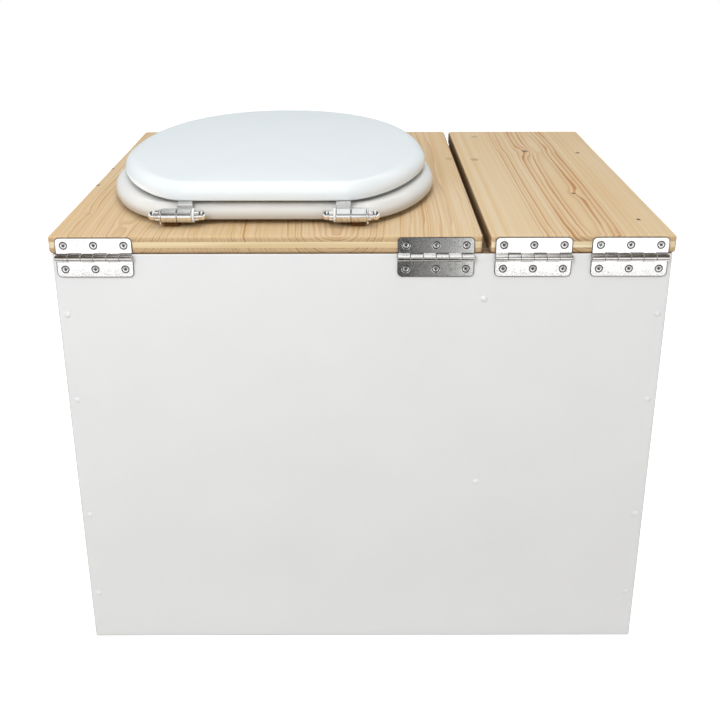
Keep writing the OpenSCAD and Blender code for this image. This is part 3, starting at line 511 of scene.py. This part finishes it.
def turned(profile, at, n=40, closed=True):
    """A shape turned about a line along X through at: profile is [(x, radius)], closed round for a tube."""
    shape = Shape()
    shape.tube([[(at[0] + x, at[1] + u, at[2] + v) for u, v in circle(r, n)] for x, r in profile],
               closed=closed, caps=not closed)
    return shape


def upright(rows, cx, cy):
    """A shape turned about a vertical line: rows of (z, radius)."""
    shape = turned(rows, (0, 0, 0), closed=False)
    shape.verts = [(cx + v[1], cy + v[2], v[0]) for v in shape.verts]
    return shape


def block(x0, x1, y0, y1, rows):
    """A low block with round corners: rows of (z, how far in)."""
    loops = [[(x, y, z) for x, y in rounded(x0, x1, y0, y1, 2.2, inset, 4)] for z, inset in rows]
    shape = Shape()
    shape.tube(loops, caps=True)
    return shape


def barrel(x0, x1):
    """A barrel on a seat axle, with turned-in ends."""
    end = [(0.15, BORE), (0.15, BARREL - 1.4), (0.0, BARREL - 1.0), (0.08, BARREL - 0.55),
           (0.30, BARREL - 0.22), (0.65, BARREL - 0.03), (1.0, BARREL)]
    profile = end + [(x1 - x0 - d, r) for d, r in reversed(end)]
    return turned(profile, (x0, AXLE_Y, AXLE_Z), 72)


def swept(path, width, thick, x0, soft=0.35):
    """A strip of metal along a path of (y, z) points, width along X from x0, with soft edges."""
    half, t = width / 2, thick / 2
    corners = ((half - soft, t - soft, 0), (-half + soft, t - soft, 90), (-half + soft, -t + soft, 180),
               (half - soft, -t + soft, 270))
    section = [p for cx, cz, start in corners for p in arc(cx, cz, soft, start, 90.0, 3)]
    loops = []
    for j, (y, z) in enumerate(path):
        a, b = path[max(j - 1, 0)], path[min(j + 1, len(path) - 1)]
        dy, dz = b[0] - a[0], b[1] - a[1]
        size = math.hypot(dy, dz)
        loops.append([(x0 + half + u, y - dz / size * v, z + dy / size * v) for u, v in section])
    shape = Shape()
    shape.tube(loops, caps=True)
    return shape


# ---------- pieces ----------

def piece(name, shape, body, mats, replaced, sharp=35.0):
    """An object from a shape, shaded smooth up to the sharp angle."""
    mesh = bpy.data.meshes.new(name)
    mesh.from_pydata([tuple(c * 0.001 for c in v) for v in shape.verts], [], shape.faces)
    for m in mats:
        mesh.materials.append(m)
    mesh.polygons.foreach_set("material_index", shape.marks)
    mesh.update()
    bm = bmesh.new()
    bm.from_mesh(mesh)
    bmesh.ops.recalc_face_normals(bm, faces=bm.faces)
    bm.to_mesh(mesh)
    bm.free()
    mesh.shade_smooth()
    mesh.set_sharp_from_angle(angle=math.radians(sharp))
    o = bpy.data.objects.new(name, mesh)
    bpy.context.scene.collection.objects.link(o)
    w = o.modifiers.new("even_normals", "WEIGHTED_NORMAL")
    w.keep_sharp = True
    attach(o, body)
    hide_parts(*replaced)


def fill(shape, groups):
    """Adds flat faces between closed loops of points. A group is a list of loops: (first point, count)."""
    mesh = bpy.data.meshes.new("tmp")
    mesh.from_pydata(shape.verts, [], shape.faces)
    bm = bmesh.new()
    bm.from_mesh(mesh)
    bm.verts.ensure_lookup_table()
    for group in groups:
        edges = []
        for start, n in group:
            for i in range(n):
                a, b = bm.verts[start + i], bm.verts[start + (i + 1) % n]
                edges.append(bm.edges.get((a, b)) or bm.edges.new((a, b)))
        bmesh.ops.triangle_fill(bm, edges=edges, use_beauty=True)
    bm.verts.index_update()
    shape.faces = [tuple(v.index for v in f.verts) for f in bm.faces]
    shape.marks += [0] * (len(shape.faces) - len(shape.marks))
    bm.free()
    bpy.data.meshes.remove(mesh)


def board(name, lo, hi, body, replaced, mats, hole=None):
    """A three-ply board: rounded edges, and a fine line where the plies meet. hole: its opening's middle,
    radius and straight length."""
    thick, edge, gap = TOP - BOX_TOP, 3.4, 0.16
    joints = (thick / 3, 2 * thick / 3)
    grooves = [row for z in joints for row in ((0.0, z - gap), (gap, z), (0.0, z + gap))]
    shape = Shape()

    def wall(rows, outline):
        """The faces of one edge, its middle ply in the second material. Gives its first and last loop."""
        middles = [(a[1] + b[1]) / 2 for a, b in zip(rows, rows[1:])]
        loops = [[(x, y, BOX_TOP + h) for x, y in outline(inset)] for inset, h in rows]
        starts = shape.tube(loops, [int(joints[0] < z < joints[1]) for z in middles])
        return (starts[0], len(loops[0])), (starts[-1], len(loops[0]))

    rows = edge_rows(thick, edge, edge, edge) + grooves
    rows.sort(key=lambda p: (p[1], -p[0] if p[1] < thick / 2 else p[0]))
    rows = [(edge + 1.5, 0.0)] + rows + [(edge + 1.5, thick)]
    caps = wall(rows, lambda inset: rounded(lo, hi, FRONT, REAR, 5.0, inset))
    if hole:
        rows = [(3.5, 0.0), (1.0, 0.0), (0.3, 0.3), (0.0, 1.0)] + grooves + \
               [(0.0, thick - 2.0), (0.6, thick - 0.6), (2.0, thick), (4.5, thick)]
        fill(shape, [list(pair) for pair in zip(caps, wall(rows, lambda grow: slot_hole(*hole, grow)))])
    else:
        for start, n in caps:
            shape.face(range(start, start + n))
    piece(name, shape, body, mats, replaced)


def seat_ring():
    """The ring: its outer edge, and the same edge round the opening, whose widest line is 5% of its length
    behind its middle."""
    edge = edge_rows(RING_THICK, 2.0, 13.0, 12.0, 8)
    half, back, front, flat = 190.0, 173.0, 295.0, 108.25
    hole_half, hole_back, hole_front, hole_flat = 120.0, 131.4, 160.6, 24.0
    y, hole_y = SEAT_REAR - back, HOLE_Y + 0.05 * (hole_back + hole_front)
    rows = [full(half_outline(half - i, back - i, front - i, flat, 1.65, 2.17), y, RING_Z + h)
            for i, h in edge]
    rows += [full(half_outline(hole_half + i, hole_back + i, hole_front + i, hole_flat, 2.1, 2.1), hole_y,
                  RING_Z + h) for i, h in reversed(edge)]
    shape = Shape()
    shape.tube(rows, closed=True)
    piece("seat_ring_lacquered", shape, "seat_ring", [RING_LACQUER_SHADED], ["seat_ring"])


def lid():
    """The lid: a flat underside, a broad round edge and a top that rises slightly to its middle."""
    half, back, front, flat = 181.0, 192.0, 272.5, 86.25
    y, square = SEAT_REAR - back, (1.62, 2.17)
    edge = edge_rows(LID_THICK, 2.0, 18.0, 14.0, 9)
    rows = [full(half_outline(half * c, back - 0.8 * half * (1 - c), front - half * (1 - c), flat * c,
                              *square), y, LID_Z) for c in (0.25, 0.6, 0.9)]
    rows += [full(half_outline(half - i, back - i, front - i, flat, *square), y, LID_Z + h) for i, h in edge]
    for c in (0.16, 0.25, 0.36, 0.48, 0.6, 0.72, 0.84, 0.94):
        d = c * half
        rise = LID_RISE * (1 - (1 - (c - 0.1) / 0.9) ** 3)
        rows.append(full(half_outline(half - d, back - 0.8 * d, front - d, flat * (1 - c), *square), y,
                         LID_Z + LID_THICK + rise))
    shape = Shape()
    starts = shape.tube(rows)
    n, last = len(rows[0]), starts[-1]
    under = len(shape.verts)
    shape.verts += [(SEAT_X, y, LID_Z), (SEAT_X, y, LID_Z + LID_THICK + LID_RISE)]
    for i in range(n):
        shape.face((under, (i + 1) % n, i))
    for i in range(n):
        shape.face((under + 1, last + i, last + (i + 1) % n))
    piece("lid_lacquered", shape, "lid", [LACQUER], ["lid"])


def has_knuckle(j, up):
    """Whether knuckle j belongs to the leaf on this side of the pin: the lid's if up is 1, the box's if -1."""
    return (j % 2 == 0) == (up > 0)


def leaf_outline(up, inset):
    """A leaf's flat outline as (along, away from the pin), moved in by inset, with notches for the other
    leaf's knuckles."""
    half, corner = HINGE_LONG / 2, 5.0
    pts = []
    for j in range(KNUCKLES):
        base, side = (1.2, 0.15) if has_knuckle(j, up) else (4.0, -0.15)
        x0, x1 = half - j * (HINGE_LONG / KNUCKLES), half - (j + 1) * (HINGE_LONG / KNUCKLES)
        pts += [(x0 - side, base + inset), (x1 + side, base + inset)]
    pts[0] = (half - inset, pts[0][1])
    pts[-1] = (-half + inset, pts[-1][1])
    for cx, start in ((-half + corner, 180), (half - corner, 90)):
        pts += arc(cx, LEAF_WIDE - corner, corner - inset, start, -90.0, 7)
    return pts


def hinge_leaf(i, up, body):
    """A stamped leaf with soft edges, three dished screw holes and three rolled knuckles."""
    rim = ((0.35, 0.0), (0.0, 0.3), (0.0, LEAF_THICK - 0.5), (0.18, LEAF_THICK - 0.18), (0.62, LEAF_THICK),
           (0.85, LEAF_THICK))
    dish = ((2.7, 0.0), (2.7, 0.1), (3.7, 0.45), (4.05, LEAF_THICK - 0.3), (4.2, LEAF_THICK - 0.06),
            (4.4, LEAF_THICK), (4.6, LEAF_THICK))
    shape, cx, m = Shape(), HINGE_X[i], 32
    loops = [[(cx + u, REAR + h, PIN_Z + up * v) for u, v in leaf_outline(up, inset)] for inset, h in rim]
    # the leaf's edges: sheared zinc, darkened as painted shade
    starts = shape.tube(loops, [2] * (len(rim) - 1))
    low, high = [(starts[0], len(loops[0]))], [(starts[-1], len(loops[0]))]
    for k in (-1, 0, 1):
        # the dish's lower bands: grime and painted shade round each screw head
        starts = shape.tube([[(cx + k * SCREW_PITCH + u, REAR + h, PIN_Z + up * SCREW_ROW + v)
                              for u, v in circle(r, m)] for r, h in dish], [1, 1, 1, 0, 0, 0])
        low.append((starts[0], m))
        high.append((starts[-1], m))
    length = HINGE_LONG / KNUCKLES - 0.45
    end = [(0.0, 2.15), (0.0, KNUCKLE - 0.35), (0.1, KNUCKLE - 0.1), (0.35, KNUCKLE)]
    for j in range(KNUCKLES):
        if has_knuckle(j, up):
            x = cx + HINGE_LONG / 2 - (j + 1) * HINGE_LONG / KNUCKLES + 0.22
            profile = end + [(length - d, r) for d, r in reversed(end)]
            shape.add(turned(profile, (x, PIN_Y, PIN_Z), 48))
    fill(shape, [low, high])
    half = "lid" if up > 0 else "box"
    piece(f"hinge_{i + 1}_{half}_leaf_rolled", shape, body, [ZINC, GRIME_AND_SHADE, EDGE_AND_SHADE],
          [f"hinge_{i + 1}_{half}_leaf"], 30.0)


def hinge_pin(i):
    """A butt hinge's pin, with a domed head at each end."""
    head = [(0.95, 0.4), (0.9, 1.2), (0.7, 2.0), (0.35, 2.6), (0.05, 2.9), (-0.1, 2.1)]
    profile = [(-HINGE_LONG / 2 - d, r) for d, r in head]
    profile += [(-x, r) for x, r in reversed(profile)]
    shape = turned(profile, (HINGE_X[i], PIN_Y, PIN_Z), 32, False)
    piece(f"hinge_{i + 1}_pin_domed", shape, "box", [PIN], [f"hinge_{i + 1}_pin"])


def countersunk(shape, x, z, turn):
    """A countersunk head with a raised rim and a tapered cross recess, turned by an angle, and its shank."""
    n, rings = 48, (3.25, 3.17, 3.0, 2.8, 2.55, 2.3, 2.05, 1.8, 1.55, 1.25, 1.0, 0.75, 0.5, 0.25)
    reach, half_wide, deepest = 0.95, 0.42, 1.15             # the recess's arms, before they taper off
    shank = ((3.25, 0.35), (1.7, 2.1), (1.7, 12.0), (0.3, 15.8))
    c, s = math.cos(turn), math.sin(turn)
    loops = []
    for r in rings:
        height = (0.06 if 2.5 < r < 3.15 else 0.0) + (-0.12 if r > 3.2 else 0.0)
        loop = []
        for u, w in circle(r, n):
            deep = 0.0
            for p, q in ((u, w), (w, u)):
                along = 1.0 - min(max((abs(p) - reach) / 0.7, 0.0), 1.0)
                across = 1.0 - min(max((abs(q) - half_wide) / 0.35, 0.0), 1.0)
                deep = max(deep, min(along, across) * (deepest - 0.1 * abs(p)))
            loop.append((x + u * c - w * s, HEAD_FACE + height - deep, z + u * s + w * c))
        loops.append(loop)
    first = len(shape.faces)
    starts = shape.tube(loops)
    for f in range(first, len(shape.faces)):
        if min(shape.verts[v][1] for v in shape.faces[f]) < HEAD_FACE - 0.9:
            shape.marks[f] = 1                               # the bottom of the recess is dark: grime, and painted shade
    shape.face(range(starts[-1], starts[-1] + n), 1)
    shape.band(starts[0], len(shape.verts), n)
    # the band just under the head: grime and painted shade
    loops = [[(x + u, HEAD_FACE - d, z + w) for u, w in circle(r, n)] for r, d in shank]
    starts = shape.tube(loops, [1, 0, 0])
    shape.face(range(starts[-1], starts[-1] + n))


def leaf_screws(name, hinges, up, body, node):
    """All the screws of some hinges' leaves, each with its cross turned another way."""
    shape = Shape()
    for i in hinges:
        for k in (-1, 0, 1):
            turn = 0.6 + 2.4 * i + 1.3 * k + 0.5 * up
            countersunk(shape, HINGE_X[i] + k * SCREW_PITCH, PIN_Z + up * SCREW_ROW, turn)
    piece(name, shape, body, [SCREW, GRIME_AND_SHADE], [node], 40.0)


def painted_screws(name, face, way, node):
    """Countersunk screws whose filled and painted heads stand a little proud of a panel."""
    profile = [(-44.6, 0.2), (-40.7, 2.0), (-0.9, 2.0), (0.0, 3.1), (0.08, 3.4), (0.3, 3.45), (0.62, 3.15),
               (0.95, 2.5), (1.2, 1.6), (1.3, 0.7)]
    spots = [(s * SIDE_SCREWS, z) for s in (-1, 1) for z in (62, 169, 314, 414)]
    spots += [(PARTITION_SCREWS, z) for z in (211, 431)]
    shape = Shape()
    for x, z in spots:
        screw = turned(profile, (0, 0, 0), closed=False)
        screw.verts = [(x + v[1], face + way * v[0], z + v[2]) for v in screw.verts]
        shape.add(screw)
    piece(name, shape, "box", [SCREW_PAINT], [node], 60.0)


def seat_post(i, s):
    """A post: its barrel, a short neck, the stud through the board, and a foot coloured dark brown as painted
    shade.
    """
    mid = SEAT_X + s * (SEAT_HINGES / 2 + HINGE_TO_POST)
    neck = [(TOP + 3.0, 3.4), (TOP + 9.0, 3.4)]
    stud = [(TOP - 31.8, 3.2), (TOP - 31.1, 3.9), (TOP - 0.4, 3.9)]
    foot = [(TOP, 0.4), (TOP + 0.3, 0.0), (TOP + 4.2, 0.0), (TOP + 4.8, 0.3), (TOP + 5.1, 0.9)]
    foot_x, foot_half = mid - s * 1.4, 7.8
    shape = barrel(mid - POST_WIDTH / 2, mid + POST_WIDTH / 2)
    shape.add(upright(neck, mid, AXLE_Y - 6.5))
    shape.add(upright(stud, mid, AXLE_Y))
    # painted shade: a low dark brown block under the barrel, where its shadow falls
    shape.add(block(foot_x - foot_half, foot_x + foot_half, AXLE_Y - 14.7, AXLE_Y - 0.9, foot), 1)
    piece(f"seat_post_{i}_chromed", shape, "seat_board", [SATIN, FOOT_SHADE], [f"seat_post_{i}"])


def lid_strap(i, s):
    """The lid's strap: rolled round the axle, up its front side and on under the lid."""
    outer = SEAT_HINGES / 2 - 0.15
    x0, x1 = sorted((SEAT_X + s * (outer - STRAP_WIDTH), SEAT_X + s * outer))
    front, under, bend = AXLE_Y - 6.9, LID_Z - 0.8, 1.4
    path = [(front, AXLE_Z - 1.0), (front, AXLE_Z + 4.0), (front, under - bend)]
    path += arc(front - bend, under - bend, bend, 0.0, 90.0, 6)[1:] + [(AXLE_Y - 52.0, under)]
    shape = barrel(x0, x1)
    shape.add(swept(path, STRAP_WIDTH, 1.6, x0), 1)
    piece(f"lid_strap_{i}_rolled", shape, "lid", [SATIN, STRAP], [f"lid_strap_{i}"])


def dome_nuts():
    """Four dome nuts with ribbed necks, on the ends of the two axles."""
    per, dome = 4, 5.3                     # points to a rib, and the dome's radius
    n = 22 * per
    profile = [(0.0, 3.2, 0), (0.0, 5.2, 0), (0.25, 5.55, 1), (4.3, 5.55, 1), (4.6, 5.2, 0), (4.75, 4.7, 0)]
    for k in range(15):
        a = math.radians(-62 + (90 + 62) * k / 14)
        profile.append((7.1 + dome * math.sin(a), max(dome * math.cos(a), 0.05), 0))
    shape = Shape()
    for s in (1, -1):
        for way in (s, -s):
            base = SEAT_X + s * (SEAT_HINGES / 2 + way * s * HINGE_TO_NUT)
            loops = []
            for x, r, ribbed in profile:
                radii = [r - (0.42 * (k % per in (0, 3)) if ribbed else 0.0) for k in range(n)]
                loops.append([(base + way * x, AXLE_Y + q * u, AXLE_Z + q * v)
                              for q, (u, v) in zip(radii, circle(1.0, n))])
            last = shape.tube(loops)[-1]
            shape.face(range(last, last + n))
    piece("dome_nuts_ribbed", shape, "seat_ring", [CHROME], ["dome_nuts"], 32.0)


board("seat_board_wood", SEAT_LO, SEAT_HI, "seat_board", ["seat_board"], [SEAT_OUT, SEAT_CORE],
      (SEAT_X, HOLE_Y, 125.0, 50.0))
board("litter_lid_wood", LITTER_LO, LITTER_HI, "litter_lid", ["litter_lid"], [LITTER_OUT, LITTER_CORE])
seat_ring()
lid()
for i, over in enumerate(("seat_board", "seat_board", "litter_lid", "litter_lid")):
    hinge_leaf(i, -1, "box")
    hinge_leaf(i, 1, over)
    hinge_pin(i)
for i, s in ((1, 1), (2, -1)):
    seat_post(i, s)
    lid_strap(i, s)
dome_nuts()
painted_screws("rear_panel_screws_painted", REAR, 1, "rear_panel_screws")
painted_screws("front_panel_screws_painted", PANEL_FRONT, -1, "front_panel_screws")
leaf_screws("box_leaf_screw_heads", range(4), -1, "box", "box_leaf_screws")
leaf_screws("seat_board_leaf_screw_heads", (0, 1), 1, "seat_board", "seat_board_leaf_screws")
leaf_screws("litter_lid_leaf_screw_heads", (2, 3), 1, "litter_lid", "litter_lid_leaf_screws")


# ---------- the CAD's own pieces ----------

def dress(names, mat, bevel=0.0):
    """Gives CAD nodes a material, and edges rounded off by bevel millimetres."""
    for name in names:
        o = nodes[name]
        for s in o.material_slots:
            s.material = mat
        if not o.material_slots:
            o.data.materials.append(mat)
        if bevel:
            weld = o.modifiers.new("weld", "WELD")
            weld.merge_threshold = 0.000004
            flat = o.modifiers.new("flat_faces", "DECIMATE")
            flat.decimate_type = "DISSOLVE"
            flat.angle_limit = math.radians(0.6)
            b = o.modifiers.new("soft_edges", "BEVEL")
            b.width = bevel * 0.001
            b.segments = 2
            b.limit_method = "ANGLE"
            b.angle_limit = math.radians(38.0)
            b.harden_normals = True


dress(["rear_panel", "front_panel", "seat_side_panel", "litter_side_panel", "partition_panel",
       "litter_floor"], WHITE)
dress(["litter_battens"], PINE)
dress(["batten_screws", "splash_guard_screws", "lid_strap_screws", "ring_strap_screws"], SCREW)
dress(["ring_strap_1", "ring_strap_2"], CHROME, 0.25)
dress(["seat_axle_1", "seat_axle_2", "post_washers", "post_nuts"], SCREW)
dress(["bucket", "bucket_ears", "splash_guard", "bail_wire"], STEEL)
dress(["axle_washers"], NYLON, 0.2)
dress(["ring_bumpers", "lid_bumpers"], RUBBER, 0.3)
dress(["bail_grip"], GRIP, 0.4)


# ---------- floor, light and camera, in metres ----------

def wire(tree, *pairs):
    for output, socket in pairs:
        tree.links.new(output, socket)


def maths(tree, operation, a, b=None):
    """A Math node's output, for one value or for two."""
    m = tree.nodes.new("ShaderNodeMath")
    m.operation = operation
    tree.links.new(a, m.inputs[0])
    if isinstance(b, float):
        m.inputs[1].default_value = b
    elif b is not None:
        tree.links.new(b, m.inputs[1])
    return m.outputs[0]


def light_path(tree):
    """1 for rays from the camera, off gloss or through glass, and 0 for all others."""
    rays = tree.nodes.new("ShaderNodeLightPath").outputs
    seen = maths(tree, "MAXIMUM", rays["Is Camera Ray"], rays["Is Glossy Ray"])
    return maths(tree, "MAXIMUM", seen, rays["Is Transmission Ray"])


def stage_plane(name, x, y, z, mat, seen=True):
    """A rectangle between pairs of coordinates, level or upright. One that isn't seen shows in gloss only."""
    corners = [(x[0], y[0], z[0]), (x[1], y[0], z[0]), (x[1], y[1], z[1]), (x[0], y[1], z[1])]
    mesh = bpy.data.meshes.new(name)
    mesh.from_pydata(corners, [], [(0, 1, 2, 3)])
    mesh.materials.append(mat)
    o = bpy.data.objects.new(name, mesh)
    bpy.context.scene.collection.objects.link(o)
    if not seen:
        o.visible_camera = o.visible_diffuse = o.visible_shadow = False
        o.visible_transmission = o.visible_volume_scatter = False


def floor_material():
    """Warm grey for the light that bounces off it, and pale, with the object's shadow, for what is seen."""
    mat = bpy.data.materials.new("floor")
    tree = emptied(mat)
    soft, shade, glow, both, pick, out = (tree.nodes.new("ShaderNode" + kind) for kind in (
        "BsdfDiffuse", "BsdfDiffuse", "Emission", "AddShader", "MixShader", "OutputMaterial"))
    soft.inputs[0].default_value = rgba((0.52, 0.505, 0.48))
    shade.inputs[0].default_value = rgba(0.40)
    glow.inputs[0].default_value = rgba(1.0)
    glow.inputs[1].default_value = 0.86
    wire(tree, (shade.outputs[0], both.inputs[0]), (glow.outputs[0], both.inputs[1]),
         (light_path(tree), pick.inputs[0]), (soft.outputs[0], pick.inputs[1]),
         (both.outputs[0], pick.inputs[2]), (pick.outputs[0], out.inputs[0]))
    return mat


CARD_REACH = 2.0                           # the distance from the middle at the ramp's end


def card(name, x, y, z, stops):
    """A card that only reflections see. stops: its colour at each distance from the middle."""
    mat = bpy.data.materials.new(name)
    tree = emptied(mat)
    where, apart, ramp, glow, out = (tree.nodes.new("ShaderNode" + kind) for kind in (
        "TexCoord", "SeparateXYZ", "ValToRGB", "Emission", "OutputMaterial"))
    while len(ramp.color_ramp.elements) < len(stops):
        ramp.color_ramp.elements.new(1.0)
    for e, (distance, colour) in zip(ramp.color_ramp.elements, stops):
        e.position, e.color = distance / CARD_REACH, rgba(colour)
    wire(tree, (where.outputs["Object"], apart.inputs[0]), (ramp.outputs[0], glow.inputs[0]),
         (glow.outputs[0], out.inputs[0]),
         (maths(tree, "DIVIDE", maths(tree, "ABSOLUTE", apart.outputs[0]), CARD_REACH), ramp.inputs[0]))
    stage_plane(name, x, y, z, mat, False)


stage_plane("floor", (-6, 6), (-6, 6), (0, 0), floor_material())

BROWN, GREY, SOFT, DARK = (0.105, 0.086, 0.070), (0.52, 0.51, 0.50), 0.95, (0.05, 0.045, 0.04)
DUSK, SKY, BLACK = (0.40, 0.38, 0.36), (0.56, 0.63, 0.66), 0.01
WOOD_FLOOR = (0.36, 0.33, 0.31)
card("ceiling", (-4, 4), (-1.9, 3.2), (2.62, 2.62),
     [(0.0, SOFT), (0.46, SOFT), (0.58, GREY), (0.72, DUSK), (0.86, BROWN), (1.9, BROWN)])
card("wall_behind_camera", (-4, 4), (3.2, 3.2), (1.62, 2.62),
     [(0.0, GREY), (0.50, GREY), (0.85, BROWN), (1.9, BROWN)])
card("camera_and_stand", (-4, 4), (3.2, 3.2), (1.12, 1.62),
     [(0.0, DARK), (0.9, DARK), (1.2, BROWN), (1.9, BROWN)])
card("far_wall", (-4, 4), (-2.4, -2.4), (0.0, 1.9), [(0.0, SKY), (1.9, SKY)])
card("stand_leg", (-0.30, -0.035), (1.45, 1.45), (0.0, 0.60),
     [(0.0, BLACK), (0.092, BLACK), (0.106, (0.16, 0.16, 0.156)), (0.15, (0.25, 0.25, 0.245)),
      (0.195, (0.30, 0.30, 0.295)), (0.225, (0.50, 0.50, 0.49)), (0.248, (0.78, 0.78, 0.77)),
      (0.27, (0.95, 0.95, 0.94))])
card("floor_near_box", (-1.5, 1.5), (0.36, 1.60), (0.002, 0.002),
     [(0.0, (0.06, 0.05, 0.042)), (0.17, (0.07, 0.058, 0.048)), (0.25, WOOD_FLOOR), (1.0, WOOD_FLOOR),
      (1.5, 0.8)])

AMBIENT = 0.56                             # how brightly the white room lights the object
world = bpy.data.worlds.new("studio")
bpy.context.scene.world = world
tree = emptied(world)
strength, room, out = (tree.nodes.new("ShaderNode" + kind) for kind in (
    "MapRange", "Background", "OutputWorld"))
strength.inputs[3].default_value = AMBIENT
strength.inputs[4].default_value = 1.0
room.inputs[0].default_value = rgba(1.0)
wire(tree, (light_path(tree), strength.inputs[0]), (strength.outputs[0], room.inputs[1]),
     (room.outputs[0], out.inputs[0]))


def area(name, at, to, size, radiance, tint=(1, 1, 1)):
    """A soft lamp, which reflections and the camera don't see."""
    lamp = bpy.data.lights.new(name, "AREA")
    lamp.shape = "RECTANGLE"
    lamp.size, lamp.size_y = size
    lamp.energy = radiance * 4 * size[0] * size[1]
    lamp.color = tint
    o = bpy.data.objects.new(name, lamp)
    o.location = at
    o.rotation_euler = (Vector(to) - Vector(at)).to_track_quat("-Z", "Y").to_euler()
    o.visible_glossy = o.visible_camera = False
    bpy.context.scene.collection.objects.link(o)


area("overhead", (0.0, 0.3, 2.6), (0.0, 0.299, 0.0), (1.0, 2.9), 1.9)
area("key", (0.6, 1.4, 1.4), (0.05, 0.25, 0.35), (0.7, 0.7), 5.4, (0.97, 0.985, 1.0))
area("front", (-1.3, 2.8, 1.2), (0.0, 0.3, 0.35), (1.6, 1.6), 0.85, (1.0, 0.985, 0.96))
area("side_left", (2.3, -1.0, 0.20), (0.0, -1.0, 0.20), (2.2, 0.4), 5.8)
area("side_right", (-2.3, -1.0, 0.20), (0.0, -1.0, 0.20), (2.2, 0.4), 5.8)
area("far", (0.0, -2.7, 0.20), (0.0, 0.0, 0.20), (2.2, 0.4), 3.4)

FOCAL, FRAME_WIDTH = 1077.47, 720.0        # fitted to the photograph, in its pixels
CAMERA_AT = (0.00419, 1.3491, 0.81246)
YAW, PITCH, ROLL = math.radians(0.081), math.radians(22.804), math.radians(-0.068)
data = bpy.data.cameras.new("camera")
data.sensor_width = 36.0
data.sensor_fit = "HORIZONTAL"
data.lens = FOCAL * data.sensor_width / FRAME_WIDTH
data.clip_start, data.clip_end = 0.05, 50.0
cam = bpy.data.objects.new("camera", data)
ahead = Vector((-math.sin(YAW) * math.cos(PITCH), -math.cos(YAW) * math.cos(PITCH), -math.sin(PITCH)))
level = Vector((-math.cos(YAW), math.sin(YAW), 0.0))
upward = level.cross(ahead)
side = level * math.cos(ROLL) + upward * math.sin(ROLL)
up = upward * math.cos(ROLL) - level * math.sin(ROLL)
cam.matrix_world = Matrix.Translation(CAMERA_AT) @ Matrix((side, up, -ahead)).transposed().to_4x4()
bpy.context.scene.collection.objects.link(cam)
bpy.context.scene.camera = cam

bpy.context.scene.view_settings.view_transform = "Standard"
